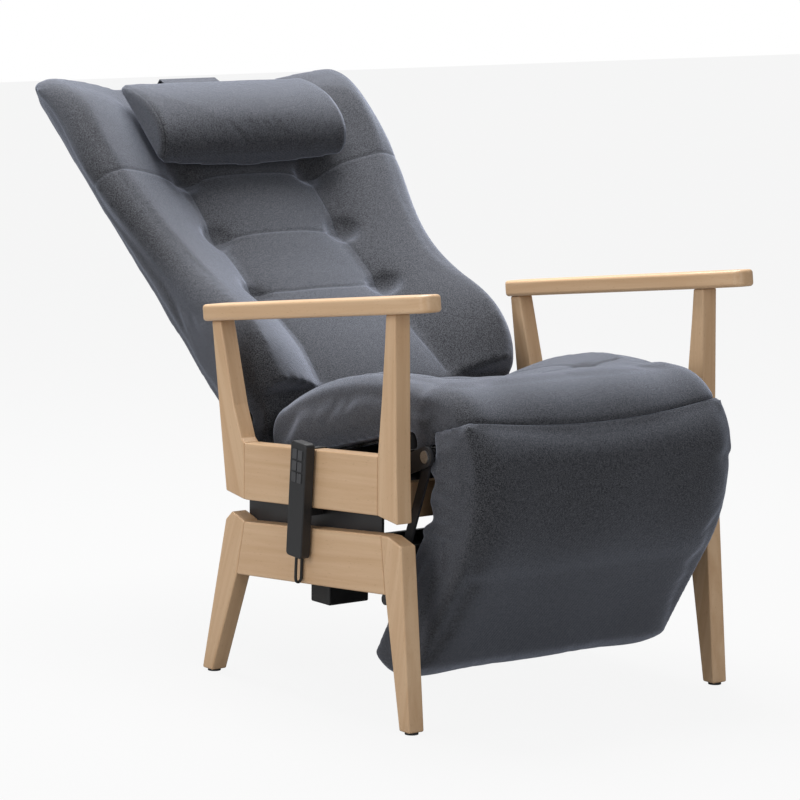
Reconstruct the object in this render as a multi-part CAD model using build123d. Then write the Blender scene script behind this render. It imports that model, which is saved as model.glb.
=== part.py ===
import os
from math import atan2, cos, degrees, hypot, pi, radians, sin, tan

from build123d import *

# Powered rise-and-recline armchair in millimetres. The chair faces -Y and +Z is up.
# X = 0 is its plane of symmetry, and the sitter's right hand is on the -X side.
# It is drawn in one pose: lift down, leg rest down, back laid well back.

# Overall frame sizes
frame_half_width = 330.0
board = 30.0
floor_to_arm_rear = 597.14

# Clearances and fits
sheet_gap = 2.0
leg_arm_gap = 3.0
running_fit = 0.06
soft_gap = 0.3
open_pivot_gap = 1.6
slot_play = 1.4
overrun = 4.0

# Wooden base, in the side view: (y from the front foot, z from the floor)
foot_depth = 27.0
front_brow = (26.0, 298.0)
front_head = (62.0, 309.0)
rail_front_top = (80.0, 309.0)
rail_front_bottom = (67.0, 215.0)
rail_rear_top = (464.0, 273.0)
rail_rear_bottom = (487.0, 181.0)
rear_foot_front = 561.0
rear_foot_back = 590.0
rear_leg_back = (519.0, 270.0)
rear_leg_top = (501.0, 285.0)
rear_leg_nose = (472.0, 276.0)
wood_easing = 3.0

# Wooden arm frame, in the same view
arm_rail_front_top = (89.5, 434.0)
arm_rail_front_bottom = (89.5, 338.5)
arm_rail_rear_top = (464.0, 405.0)
arm_rail_rear_bottom = (464.0, 310.0)
front_post_foot_front = (36.0, 331.0)
front_post_mid_front = (40.0, 414.0)
front_post_top_front = 45.0
front_post_top_back = 70.0
front_post_waist_back = (73.0, 610.0)
front_post_mid_back = (80.0, 525.0)
rear_post_shoulder = (473.0, 412.0)
rear_post_flare = (496.0, 465.0)
rear_post_top_front = 536.0
rear_post_top_back = 561.0
rear_post_mid_back = (537.0, 441.0)
rear_post_foot_back = (518.0, 318.0)

# Armrests
arm_front = -45.0
arm_rear = 569.0
arm_tilt = 7.15
arm_thick = 28.0
arm_width_front = 65.0
arm_width_rear = 53.0
arm_lap_front = 13.0
arm_lap_rear = 8.0
arm_nose_radius = 16.5
arm_tail_radius = 10.0
arm_easing = 6.0
arm_taper = 14.0

# Wooden rail across the front of the arm frame
cross_rail_back = 115.5
cross_rail_thick = 18.0
cross_rail_bottom = 326.0
cross_rail_top = 384.0
cross_rail_dip = 34.0
cross_rail_dip_half = 150.0

# Steel layers on each side, outwards to inwards
side_plate = 5.0
link_plate = 5.0
seat_plate = 5.0
leg_arm_plate = 4.0
plate_margin = 14.0
plate_split = 3.0
tube = 25.0
tube_wall = 2.0
pin_radius = 6.0
pin_head = 2.0
pin_head_radius = 10.0
pin_head_gap = 0.3

# Lift linkage pivots (y, z)
lift_rear_low = (238.4, 260.5)
lift_rear_high = (431.5, 358.3)
lift_front_low = (178.1, 255.2)
lift_front_high = (347.6, 349.9)
link_half_width = 12.0
torsion_radius = 14.0
lift_crank = 65.0
lift_crank_angle = 25.0
front_tube = (183.5, 229.2)
rear_tube = (440.0, 215.0)

# Seat, drawn level about its pivot and tilted into place
seat_pivot = (130.0, 385.0)
seat_tilt = 14.8
seat_side_gap = 38.0
seat_bottom = 72.0
seat_tube_z = 54.0
seat_side_crest = 181.0
seat_middle_crest = 141.0
seat_rear = 348.0
seat_rear_tube = 340.0
seat_front_tube = -45.0
seat_middle_tube = 160.0
spring_count = 7
spring_radius = 2.5
spring_spread = 440.0
seat_bar_half_width = 13.0
nose_bar_half_width = 16.0
seat_elbow = 345.0
seat_crest_place = 120.0
seat_rear_top_place = 300.0
seat_toe_place = -55.0
seat_top_share = 0.88
seat_bulge_share = 0.125
seat_band_shares = (1.0, 0.95, 0.80, 0.50, 0.0)
seat_dish_shares = (0.93, 1.0, 0.93, 0.50, 0.0)
seat_inset_shares = (1.0, 0.2, 0.0, 0.0, 0.0)
seat_end_inset = 12.0
seat_tuft_place = -20.0

# Leg rest, drawn as it hangs, about its hinge
leg_hinge = (35.0, 435.0)
nose_radius = 109.0
nose_wall = 46.0
nose_gap = 2.5
nose_top_angle = 82.0
nose_low_angle = 205.0
nose_inner_angle = 62.0
nose_seam_angle = 150.0
nose_cheek = 12.0
cheek_open_angles = (-70.0, -28.0, 13.0)
leg_crank = 45.0
leg_crank_angle = 42.0
leg_tube_radius = 10.0
leg_arm_half_width = 9.0
pad_lip = (-117.0, -16.0)
pad_upper_front = (-111.0, -88.0)
pad_mid_front = (-61.0, -197.0)
pad_toe_front = (42.0, -351.0)
pad_toe_low = (111.0, -372.0)
pad_toe_back = (162.0, -347.0)
pad_mid_back = (45.0, -153.0)
pad_slant = (0.8, -0.6)
pad_heel_angle = -78.0
pad_heel_turn = 0.6
pad_crown = 10.0
pad_end_inset = 6.0
pad_band_shares = (1.0, 0.95, 0.55, 0.0)
pad_crown_shares = (0.0, 0.15, 0.75, 1.0)
pad_inset_shares = (1.0, 0.1, 0.0, 0.0)
leg_tube_shares = (0.08, 0.52)
leg_tube_gap = 1.5

# Back, drawn upright about its hinge and leaned back into place
back_hinge = (560.0, 432.0)
back_lean = 47.8
back_rear_plane = 47.0
back_height = 784.0
back_end_radius = 60.0
back_panel = 5.0
back_board = 20.0
back_stile = 45.0
back_wrap = 8.0
back_rail_height = 60.0
back_rail_shares = (0.0, 0.52, 1.0)
back_bracket_x = 150.0
back_bracket = 6.0
back_ring = 12.0
board_low = -12.0
panel_low_share = 0.66
hinge_pocket_gap = 4.0
crank_slot_gap = 3.0
back_crank = 135.0
back_crank_angle = 4.0
hinge_tube_radius = 12.0

# Head pillow and its strap
pillow_half_length = 200.0
pillow_bottom = 538.0
pillow_height = 184.0
pillow_depth = 54.0
pillow_plane = 72.0
pillow_sink = 25.0
pillow_inset = 7.0
pillow_band_shares = (1.0, 0.975, 0.70, 0.0)
pillow_inset_shares = (1.0, 0.0, 0.0, 0.0)
pillow_sink_shares = (0.08, 0.13, 0.56, 1.0)
pillow_front_shares = ((0.16, 1.0), (0.72, 0.72), (1.0, 0.40), (0.80, 0.12), (0.20, 0.0))
strap_width = 120.0
strap_thick = 1.5
strap_tuck_share = 0.1
weight_height = 70.0
weight_depth = 14.0
weight_half_length = 90.0
weight_top = 600.0

# Actuators: a gearbox block, a tube, a motor on the block's side and a rod with a yoke
motor_radius = 20.0
motor_length = 62.0
gearbox_length = 60.0
actuator_radius = 17.0
rod_radius = 5.8
yoke_wall = 6.0
yoke_thick = 10.0
yoke_gap = 1.0
crank_plate = 6.0
crank_half_width = 11.0
lift_actuator_x = 0.0
lift_tube_mouth = 296.0
lift_gearbox_back = 420.0
lift_rod_inside = 34.0
leg_actuator_x = 60.0
leg_tube_mouth = -10.0
leg_gearbox_back = 170.0
leg_rod_inside = 88.0
back_actuator_x = -60.0
back_tube_mouth = 335.0
back_gearbox_front = 178.0
back_rod_inside = 80.0
bore_spare = 6.0
lift_travel = 60.0
leg_travel = 80.0
back_travel_up = 20.0
back_travel_down = 12.0

# Control box and mains inlet
box_width = 80.0
box_side_gap = 55.0
box_front = 338.0
box_back = 392.0
box_bottom = 142.0
box_top = 200.0
shelf_thick = 3.0
inlet_width = 30.0
inlet_height = 22.0
inlet_depth = 7.0
inlet_socket_depth = 12.0
inlet_rim = 3.0

# Handset on the outer face of the right arm rail
handset_y = 283.0
handset_z = 338.0
handset_length = 190.0
handset_width = 43.0
handset_depth = 19.0
handset_off = 2.5
handset_tilt = 4.4
handset_split = 11.0
handset_corner = 7.0
handset_edge = 2.5
button_rows = 3
button_columns = 2
button_width = 12.0
button_height = 16.0
button_pitch_y = 14.5
button_pitch_z = 19.0
button_first = 20.0
handset_wall = 2.2
button_proud = 1.6
button_side_gap = 0.25
button_depth = 5.0
channel_width = 9.0
channel_depth = 6.5
channel_share = 0.68
hook_width = 24.0
hook_thick = 1.6
hook_drop = 9.0

# Handset cord, down from the handset in a tight loop and up to the rail gap
cord_diameter = 5.0
route_bend_share = 0.45
socket_size = (22.0, 16.0, 14.0)
cord_points = [
    (-14.5, 290.3, 243.25),
    (-14.5, 291.38, 229.28),
    (-14.7, 292.0, 215.0),
    (-14.5, 292.6, 203.0),
    (-8.8, 292.9, 199.6),
    (-3.0, 293.2, 203.0),
    (-2.8, 292.9, 215.5),
    (-3.1, 291.7, 231.0),
    (-3.6, 289.4, 250.0),
    (-3.3, 288.4, 270.0),
    (-3.6, 286.5, 289.0),
    (-3.4, 285.3, 310.4),
    (0.5, 285.2, 314.7),
    (6.0, 285.2, 314.7),
]

# Fasteners and small parts
glide_radius = 11.0
glide_height = 4.0
bolt_radius = 4.0
bolt_head_radius = 7.0
bolt_head = 3.0
bolt_depth = 21.0
base_bolt_inset_front = 49.0
base_bolt_inset_rear = 28.0
base_bolt_rise = 50.4
arm_bolt_inset_front = 91.0
arm_bolt_inset_rear = 70.0
arm_bolt_rise = 67.2

# Cushion forms
seam_width = 3.0
seam_depth = 6.0
tuft_radius = 24.0
tuft_depth = 9.0
edge_inset = 16.0
back_station_shares = (-0.010, 0.09, 0.21, 0.33, 0.50, 0.66, 0.83, 0.93, 1.0)
back_width_shares = (0.805, 0.856, 0.862, 0.865, 0.905, 0.985, 1.0, 1.0, 0.99)
back_bolster_shares = (0.87, 1.0, 0.90, 0.69, 0.55, 0.55, 0.61, 0.55, 0.37)
back_middle_shares = (0.60, 0.59, 0.50, 0.39, 0.30, 0.31, 0.34, 0.29, 0.17)
back_valley_shares = (0.40, 0.40, 0.395, 0.39, 0.39, 0.45, 0.47, 0.46, 0.45)
back_crest_share = 0.87
back_side_share = 0.45
back_shoulder_shares = (0.26, 0.34)
seam_reach = 30.0
back_crown = 9.0
wing_reach = 3.0
back_bolster_height = 173.0
back_seam_half = 131.0
back_seam_shares = (0.31, 0.50, 0.675)


# Helpers

def turned(point, angle):
    """Turn a (y, z) pair counterclockwise as seen from +X."""
    c = cos(radians(angle))
    s = sin(radians(angle))
    return (point[0] * c - point[1] * s, point[0] * s + point[1] * c)


def added(a, b):
    return (a[0] + b[0], a[1] + b[1])


def side_face(edges, x):
    """Face in the side view at x from edges drawn as (y, z)."""
    return Plane.YZ.offset(x) * make_face(edges)


def prism(points, x, thick):
    """Plate with a polygonal side view, from x to x + thick."""
    return extrude(side_face(Polyline(*points, close=True), x), thick)


def round_bar(centre, radius, x, length):
    """Round bar along X from x to x + length."""
    return Pos(x + length / 2, centre[0], centre[1]) * Rot(0, 90, 0) * Cylinder(radius, length)


def capsule(a, b, half_width, x, thick):
    """Flat bar with round ends from a to b, from x to x + thick."""
    span = hypot(b[0] - a[0], b[1] - a[1])
    tilt = degrees(atan2(b[1] - a[1], b[0] - a[0]))
    middle = ((a[0] + b[0]) / 2, (a[1] + b[1]) / 2)
    bar = Pos(x + thick / 2, middle[0], middle[1]) * Rot(tilt, 0, 0) * Box(thick, span, 2 * half_width)
    return bar + round_bar(a, half_width, x, thick) + round_bar(b, half_width, x, thick)


def both_sides(shape):
    """The shape and its mirror image, as one group."""
    return Compound(children=[shape, mirror(shape, about=Plane.YZ)])


def group(*shapes):
    return Compound(children=list(shapes))


def box_between(low, high):
    size = [h - l for l, h in zip(low, high)]
    middle = [(l + h) / 2 for l, h in zip(low, high)]
    return Pos(*middle) * Box(*size)


def eased(shape, radius):
    """Round every edge of a wooden piece by the same radius."""
    return fillet(shape.edges(), radius)


def seat_place(shape):
    return Pos(0, *seat_pivot) * Rot(-seat_tilt, 0, 0) * shape


def back_place(shape):
    return Pos(0, *back_hinge) * Rot(-back_lean, 0, 0) * shape


def leg_place(shape):
    return Pos(0, *leg_hinge) * shape


def to_seat(point):
    """A (y, z) place of the chair in the seat's own level drawing."""
    return turned((point[0] - seat_pivot[0], point[1] - seat_pivot[1]), seat_tilt)


strap_stack = soft_gap + strap_thick
back_top_reach = (
    back_hinge[0]
    + (back_rear_plane + strap_stack) * cos(radians(back_lean))
    + (back_height + strap_stack) * sin(radians(back_lean))
)
pad_front_reach = leg_hinge[0] + pad_lip[0] - pad_crown
centre_shift = (back_top_reach + pad_front_reach) / 2


def save(name, shape):
    export_step(Pos(0, -centre_shift, 0) * shape, "parts/" + name + ".step")


os.makedirs("parts", exist_ok=True)
frame_inner = frame_half_width - board
arm_inner_front = frame_inner - arm_lap_front
arm_inner_rear = frame_inner - arm_lap_rear
seat_half_width = frame_inner - seat_side_gap
back_half_low = seat_half_width
back_half_high = frame_inner
back_front_half = frame_half_width + wing_reach
box_outer = frame_inner - box_side_gap
box_inner = box_outer - box_width


def outer_board(points, easing):
    """Board on the right-hand side, from the outer face inwards, with eased edges."""
    return eased(prism(points, -frame_half_width, board), easing)


def save_pair(name, right_shape):
    save(name + "_right", right_shape)
    save(name + "_left", mirror(right_shape, about=Plane.YZ))


# Wooden base

front_leg = outer_board(
    [
        (0, glide_height),
        (foot_depth, glide_height),
        rail_front_bottom,
        rail_front_top,
        front_head,
        front_brow,
    ],
    wood_easing,
)
save_pair("front_leg", front_leg)

rear_leg = outer_board(
    [
        (rear_foot_front, glide_height),
        (rear_foot_back, glide_height),
        rear_leg_back,
        rear_leg_top,
        rear_leg_nose,
        rail_rear_top,
        rail_rear_bottom,
    ],
    wood_easing,
)
save_pair("rear_leg", rear_leg)

base_rail = outer_board(
    [rail_front_bottom, rail_rear_bottom, rail_rear_top, rail_front_top],
    wood_easing,
)

# Base: glides, steel plates, cross tubes, bolts and dowels


def line_z(front, rear, y):
    """Height at y of the straight line through two (y, z) points."""
    return front[1] + (rear[1] - front[1]) * (y - front[0]) / (rear[0] - front[0])


def plate_points(top_front, top_rear, bottom_front, bottom_rear):
    """Corners of a steel plate that lies inside a wooden rail by the plate margin."""
    y_front = top_front[0] + 2 * plate_margin
    y_rear = top_rear[0] - plate_margin / 2
    corners = []
    for y in (y_front, y_rear):
        corners.append((y, line_z(bottom_front, bottom_rear, y) + plate_margin))
    for y in (y_rear, y_front):
        corners.append((y, line_z(top_front, top_rear, y) - plate_margin))
    return corners


def square_tube(centre, half_length):
    """Square steel tube along X, hollow."""
    outer = Pos(0, *centre) * Box(2 * half_length, tube, tube)
    bore = tube - 2 * tube_wall
    return outer - Pos(0, *centre) * Box(2 * half_length + overrun, bore, bore)


plate_inner = frame_inner - side_plate
front_link_outer = plate_inner - sheet_gap
front_link_inner = front_link_outer - link_plate
rear_link_outer = front_link_inner - sheet_gap
rear_link_inner = rear_link_outer - link_plate
seat_plate_outer = rear_link_inner - 2 * sheet_gap
seat_plate_inner = seat_plate_outer - seat_plate
leg_arm_outer = seat_plate_inner - leg_arm_gap
leg_arm_inner = leg_arm_outer - leg_arm_plate

glide = Cylinder(glide_radius, glide_height)
glide_places = [
    (sign * (frame_half_width - board / 2), y)
    for sign in (-1, 1)
    for y in (foot_depth / 2, (rear_foot_front + rear_foot_back) / 2)
]
save("foot_glides", group(*[Pos(x, y, glide_height / 2) * glide for x, y in glide_places]))

base_bolt_places = [
    (y, line_z(rail_front_bottom, rail_rear_bottom, y) + base_bolt_rise)
    for y in (rail_front_top[0] + base_bolt_inset_front, rail_rear_top[0] - base_bolt_inset_rear)
]
arm_bolt_places = [
    (y, line_z(arm_rail_front_bottom, arm_rail_rear_bottom, y) + arm_bolt_rise)
    for y in (arm_rail_front_top[0] + arm_bolt_inset_front, arm_rail_rear_top[0] - arm_bolt_inset_rear)
]


def bolt_holes(places, thick):
    return group(
        *[round_bar(p, bolt_radius, -frame_inner - thick, thick + side_plate + overrun) for p in places]
    )


def bolts(places, thick):
    """Bolts through the right-hand steel plate into the wood, heads inwards."""
    pieces = []
    for place in places:
        shank = round_bar(place, bolt_radius - running_fit, -frame_inner - thick, thick + side_plate)
        head = round_bar(place, bolt_head_radius, -plate_inner, bolt_head)
        pieces.append(shank + head)
    return pieces


save_pair("base_rail", base_rail - bolt_holes(base_bolt_places, bolt_depth))
base_plate_front = arm_rail_front_top[0] + 2 * plate_margin
base_plate_rear = rail_rear_top[0] + 2 * plate_margin
base_plate_low = rail_rear_top[0] - plate_margin / 2
base_plate_points = [
    (base_plate_front, line_z(rail_front_bottom, rail_rear_bottom, base_plate_front) + plate_margin),
    (base_plate_low, line_z(rail_front_bottom, rail_rear_bottom, base_plate_low) + plate_margin),
    (base_plate_rear, rail_rear_top[1] - plate_margin),
]
for y in (base_plate_rear, base_plate_front):
    under = line_z(arm_rail_front_bottom, arm_rail_rear_bottom, y)
    base_plate_points.append((y, under + plate_margin - plate_split))
base_plate = prism(base_plate_points, -frame_inner, side_plate)
for pivot in (lift_rear_low, lift_front_low):
    base_plate -= round_bar(pivot, pin_radius, -frame_inner - overrun, side_plate + 2 * overrun)
base_plate -= bolt_holes(base_bolt_places, bolt_depth)
save("base_side_plates", both_sides(base_plate))
save("base_cross_tube_front", square_tube(front_tube, plate_inner))

lift_lug = box_between(
    (-yoke_thick, lift_gearbox_back, rear_tube[1] - motor_radius),
    (yoke_thick, rear_tube[0] - tube / 2, rear_tube[1] + tube / 2),
)
box_shelf = box_between(
    (-box_outer, box_front, box_top),
    (-box_inner, rear_tube[0] - tube / 2, box_top + shelf_thick),
)
save("base_cross_tube_rear", group(square_tube(rear_tube, plate_inner), lift_lug, box_shelf))
save("base_bolts", both_sides(group(*bolts(base_bolt_places, bolt_depth))))


def pivot_pin(centre, head_x, tip_x):
    """Right-hand pivot pin from its head at head_x, outwards to the tip at tip_x."""
    head = round_bar(centre, pin_head_radius, -head_x, pin_head)
    shank = round_bar(centre, pin_radius, -tip_x, tip_x - head_x)
    return head + shank


rear_pin_head = rear_link_inner - pin_head_gap
front_pin_head = front_link_inner - pin_head_gap
save(
    "base_pivot_pins",
    both_sides(
        group(
            pivot_pin(lift_rear_low, rear_pin_head, frame_inner),
            pivot_pin(lift_front_low, front_pin_head, frame_inner),
        )
    ),
)


# Actuators: a crank turns in the slot of a yoke on a rod that slides in its tube


def crank_heights(radius, first, last):
    """Middle and half range of a crank pin's depth below its axis, between two angles."""
    depths = [radius * cos(radians(first)), radius * cos(radians(last))]
    if first * last < 0:
        depths.append(radius)
    return (max(depths) + min(depths)) / 2, (max(depths) - min(depths)) / 2


def crank(centre, pin_place, x):
    """Pair of crank plates from centre to the pin, with the pin between them."""
    inner = yoke_thick / 2 + yoke_gap
    near = capsule(centre, pin_place, crank_half_width, x - inner - crank_plate, crank_plate)
    far = capsule(centre, pin_place, crank_half_width, x + inner, crank_plate)
    pin = round_bar(pin_place, pin_radius, x - inner - crank_plate, 2 * (inner + crank_plate))
    return near + far + pin


def rod_with_yoke(x, yoke_y, axis_z, half_range, rod_end):
    """Yoke block with an upright slot at yoke_y, and its rod along Y to rod_end."""
    half_slot = pin_radius + slot_play
    half_y = half_slot + yoke_wall
    half_z = half_range + half_slot + yoke_wall
    slot = capsule(
        (yoke_y, axis_z - half_range),
        (yoke_y, axis_z + half_range),
        half_slot,
        x - yoke_thick,
        2 * yoke_thick,
    )
    block = Pos(x, yoke_y, axis_z) * Box(yoke_thick, 2 * half_y, 2 * half_z) - slot
    start = yoke_y + half_y if rod_end > yoke_y else yoke_y - half_y
    middle = (start + rod_end) / 2
    rod = Pos(x, middle, axis_z) * Rot(90, 0, 0) * Cylinder(rod_radius, abs(rod_end - start))
    return block + rod


def actuator(x, mouth, back, axis_z, bore_end, side):
    """Tube from its mouth to a gearbox block that ends at back, with a motor on one side."""
    step = 1 if back > mouth else -1
    gearbox_start = back - step * gearbox_length
    tube_middle = (mouth + gearbox_start) / 2
    tube_length = abs(gearbox_start - mouth)
    gearbox_middle = (gearbox_start + back) / 2
    body = Pos(x, tube_middle, axis_z) * Rot(90, 0, 0) * Cylinder(actuator_radius, tube_length)
    body += Pos(x, gearbox_middle, axis_z) * Box(2 * motor_radius, gearbox_length, 2 * motor_radius)
    motor_x = x + side * (motor_radius + motor_length / 2)
    body += Pos(motor_x, gearbox_middle, axis_z) * Rot(0, 90, 0) * Cylinder(motor_radius, motor_length)
    bore_length = abs(bore_end - mouth) + overrun
    bore_middle = (bore_end + mouth - step * overrun) / 2
    bore = Cylinder(rod_radius + running_fit, bore_length)
    return body - Pos(x, bore_middle, axis_z) * Rot(90, 0, 0) * bore


lift_pin = added(
    lift_rear_low,
    (-lift_crank * sin(radians(lift_crank_angle)), -lift_crank * cos(radians(lift_crank_angle))),
)
lift_depth, lift_half = crank_heights(lift_crank, lift_crank_angle, lift_crank_angle - lift_travel)
lift_axis = lift_rear_low[1] - lift_depth
lift_stroke = lift_crank * (
    sin(radians(lift_travel - lift_crank_angle)) + sin(radians(lift_crank_angle))
)
lift_rod_end = lift_tube_mouth + lift_rod_inside
save(
    "lift_actuator",
    actuator(
        lift_actuator_x,
        lift_tube_mouth,
        lift_gearbox_back,
        lift_axis,
        lift_rod_end + lift_stroke + bore_spare,
        1,
    ),
)
save(
    "lift_rod",
    rod_with_yoke(lift_actuator_x, lift_pin[0], lift_axis, lift_half, lift_rod_end),
)


def link_bar(low, high, x_inner, low_play, high_play):
    """Right-hand lift link with a hole at each end."""
    bar = capsule(low, high, link_half_width, -x_inner - link_plate, link_plate)
    for centre, play in ((low, low_play), (high, high_play)):
        bar -= round_bar(centre, pin_radius + play, -x_inner - 2 * link_plate, 3 * link_plate)
    return bar


rear_link = link_bar(lift_rear_low, lift_rear_high, rear_link_inner, running_fit, running_fit)
torsion_bore = pin_head_radius + pin_head_gap + running_fit
torsion_tube = round_bar(lift_rear_low, torsion_radius, -rear_link_inner, 2 * rear_link_inner)
lift_lever = crank(lift_rear_low, lift_pin, lift_actuator_x)
torsion_hollow = round_bar(lift_rear_low, torsion_bore, -rear_link_inner, 2 * rear_link_inner)
save(
    "rear_lift_link",
    group(rear_link, mirror(rear_link, about=Plane.YZ), (torsion_tube + lift_lever) - torsion_hollow),
)
front_link = link_bar(lift_front_low, lift_front_high, front_link_inner, running_fit, open_pivot_gap)
save("front_lift_link", both_sides(front_link))

control_box = box_between((-box_outer, box_front, box_bottom), (-box_inner, box_back, box_top))
control_box = eased(control_box, wood_easing)
inlet_centre = (-(box_outer + box_inner) / 2, box_back, (box_bottom + box_top) / 2)
inlet_seat = Pos(*inlet_centre) * Box(
    inlet_width - 2 * inlet_rim, 2 * inlet_socket_depth, inlet_height - 2 * inlet_rim
)
save("control_box", control_box - inlet_seat)
inlet = Pos(inlet_centre[0], box_back + inlet_depth / 2, inlet_centre[2]) * Box(
    inlet_width, inlet_depth, inlet_height
)
inlet += Pos(inlet_centre[0], box_back - inlet_socket_depth / 2, inlet_centre[2]) * Box(
    inlet_width - 2 * inlet_rim, inlet_socket_depth, inlet_height - 2 * inlet_rim
)
inlet -= Pos(inlet_centre[0], box_back + inlet_depth, inlet_centre[2]) * Box(
    inlet_width - 4 * inlet_rim, 2 * inlet_depth + inlet_socket_depth, inlet_height - 4 * inlet_rim
)
save("power_inlet", inlet)


# Arm frame


def arm_bottom(y):
    """Height of the underside of the armrest at y."""
    return floor_to_arm_rear + (arm_rear - y) * tan(radians(arm_tilt))


front_post = outer_board(
    [
        front_post_foot_front,
        arm_rail_front_bottom,
        arm_rail_front_top,
        front_post_mid_back,
        front_post_waist_back,
        (front_post_top_back, arm_bottom(front_post_top_back)),
        (front_post_top_front, arm_bottom(front_post_top_front)),
        front_post_mid_front,
    ],
    wood_easing,
)
rear_post = outer_board(
    [
        arm_rail_rear_bottom,
        rear_post_foot_back,
        rear_post_mid_back,
        (rear_post_top_back, arm_bottom(rear_post_top_back)),
        (rear_post_top_front, arm_bottom(rear_post_top_front)),
        rear_post_flare,
        rear_post_shoulder,
        arm_rail_rear_top,
    ],
    wood_easing,
)
arm_rail = outer_board(
    [arm_rail_front_bottom, arm_rail_rear_bottom, arm_rail_rear_top, arm_rail_front_top],
    wood_easing,
)
save_pair("front_post", front_post)
save_pair("rear_post", rear_post)
save_pair("arm_rail", arm_rail - bolt_holes(arm_bolt_places, bolt_depth))

arm_length = (arm_rear - arm_front) / cos(radians(arm_tilt))
arm_wide_place = arm_length - (front_post_top_back - arm_front)
arm_plan = Polyline(
    (-arm_inner_rear, 0),
    (-arm_inner_front, -arm_wide_place),
    (-arm_inner_front - arm_taper, -arm_length),
    (-arm_inner_front - arm_width_front + arm_taper, -arm_length),
    (-arm_inner_front - arm_width_front, -arm_wide_place),
    (-arm_inner_rear - arm_width_rear, 0),
    close=True,
)
armrest = extrude(make_face(arm_plan), arm_thick)
upright = armrest.edges().filter_by(Axis.Z).sort_by(Axis.Y)
armrest = fillet(upright[:2], arm_nose_radius)
armrest = fillet(armrest.edges().filter_by(Axis.Z).sort_by(Axis.Y)[-2:], arm_tail_radius)
armrest = fillet(armrest.faces().sort_by(Axis.Z)[-1].edges(), arm_easing)
armrest = fillet(armrest.faces().sort_by(Axis.Z)[0].edges(), arm_easing)
armrest = Pos(0, arm_rear, floor_to_arm_rear) * Rot(-arm_tilt, 0, 0) * armrest
save_pair("armrest", armrest)

arm_plate = prism(
    plate_points(arm_rail_front_top, arm_rail_rear_top, arm_rail_front_bottom, arm_rail_rear_bottom),
    -frame_inner,
    side_plate,
)
for pivot in (lift_rear_high, lift_front_high, seat_pivot):
    arm_plate -= round_bar(pivot, pin_radius, -frame_inner - overrun, side_plate + 2 * overrun)
arm_plate -= bolt_holes(arm_bolt_places, bolt_depth)
save("arm_side_plates", both_sides(arm_plate))
save("arm_bolts", both_sides(group(*bolts(arm_bolt_places, bolt_depth))))
seat_pin_head = seat_plate_inner - pin_head_gap
save(
    "arm_pivot_pins",
    both_sides(
        group(
            pivot_pin(lift_rear_high, rear_pin_head, frame_inner),
            pivot_pin(lift_front_high, front_pin_head, frame_inner),
            pivot_pin(seat_pivot, seat_pin_head, frame_inner),
        )
    ),
)
cross_rail = box_between(
    (-frame_inner, cross_rail_back - cross_rail_thick, cross_rail_bottom),
    (frame_inner, cross_rail_back, cross_rail_top),
)
cross_rail -= box_between(
    (-cross_rail_dip_half, cross_rail_back - cross_rail_thick - overrun, cross_rail_top - cross_rail_dip),
    (cross_rail_dip_half, cross_rail_back + overrun, cross_rail_top + overrun),
)
save("front_cross_rail", eased(cross_rail, wood_easing))


# Handset, drawn upright about its own middle and hung on the right arm rail

handset_back_x = -frame_half_width - handset_off
handset_front_x = handset_back_x - handset_depth
handset_split_x = handset_front_x + handset_split


def handset_place(shape):
    return Pos(0, handset_y, handset_z) * Rot(handset_tilt, 0, 0) * shape


def handset_block(low_x, high_x, inset):
    """Rounded block across the handset between two x planes, inset from its outline."""
    middle = (low_x + high_x) / 2
    block = Pos(middle, 0, 0) * Box(
        high_x - low_x, handset_width - 2 * inset, handset_length - 2 * inset
    )
    return fillet(block.edges().filter_by(Axis.X), handset_corner - inset)


button_places = []
for row in range(button_rows):
    for column in range(button_columns):
        y = (column - (button_columns - 1) / 2) * button_pitch_y
        z = handset_length / 2 - button_first - row * button_pitch_z
        button_places.append((y, z))

front_shell = handset_block(handset_front_x, handset_split_x, 0)
front_shell = fillet(front_shell.faces().sort_by(Axis.X)[0].edges(), handset_edge)
front_shell -= handset_block(handset_front_x + handset_wall, handset_split_x + overrun, handset_wall)
for y, z in button_places:
    front_shell -= Pos(handset_front_x, y, z) * Box(
        2 * handset_split, button_width + 2 * button_side_gap, button_height + 2 * button_side_gap
    )
save("handset_front_shell", handset_place(front_shell))

back_shell = handset_block(handset_split_x, handset_back_x, 0)
back_shell = fillet(back_shell.faces().sort_by(Axis.X)[-1].edges(), handset_edge)
channel_reach = handset_length * channel_share
back_shell -= Pos(handset_back_x, 0, -handset_length / 2 + channel_reach / 2 - overrun) * Box(
    2 * channel_depth, channel_width, channel_reach + 2 * overrun
)
save("handset_back_shell", handset_place(back_shell))

for number, (y, z) in enumerate(button_places, 1):
    cap_low = handset_front_x - button_proud
    cap = Pos(cap_low + button_depth / 2, y, z) * Box(button_depth, button_width, button_height)
    cap = fillet(cap.edges().filter_by(Axis.X), button_proud)
    cap = fillet(cap.faces().sort_by(Axis.X)[0].edges(), button_proud / 2)
    save("handset_button_" + str(number), handset_place(cap))

hook_z = line_z(arm_rail_front_top, arm_rail_rear_top, handset_y)
hook_inner = -frame_inner + hook_thick
hook = box_between(
    (handset_back_x, -hook_width / 2, -2 * hook_drop),
    (-frame_half_width - soft_gap, hook_width / 2, soft_gap),
)
hook += box_between(
    (handset_back_x, -hook_width / 2, soft_gap),
    (hook_inner, hook_width / 2, soft_gap + hook_thick),
)
hook += box_between(
    (-frame_inner + soft_gap, -hook_width / 2, -hook_drop),
    (hook_inner + soft_gap, hook_width / 2, soft_gap + hook_thick),
)
rail_slope = degrees(
    atan2(arm_rail_rear_top[1] - arm_rail_front_top[1], arm_rail_rear_top[0] - arm_rail_front_top[0])
)
save("handset_hook", Pos(0, handset_y, hook_z) * Rot(rail_slope, 0, 0) * hook)

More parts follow.
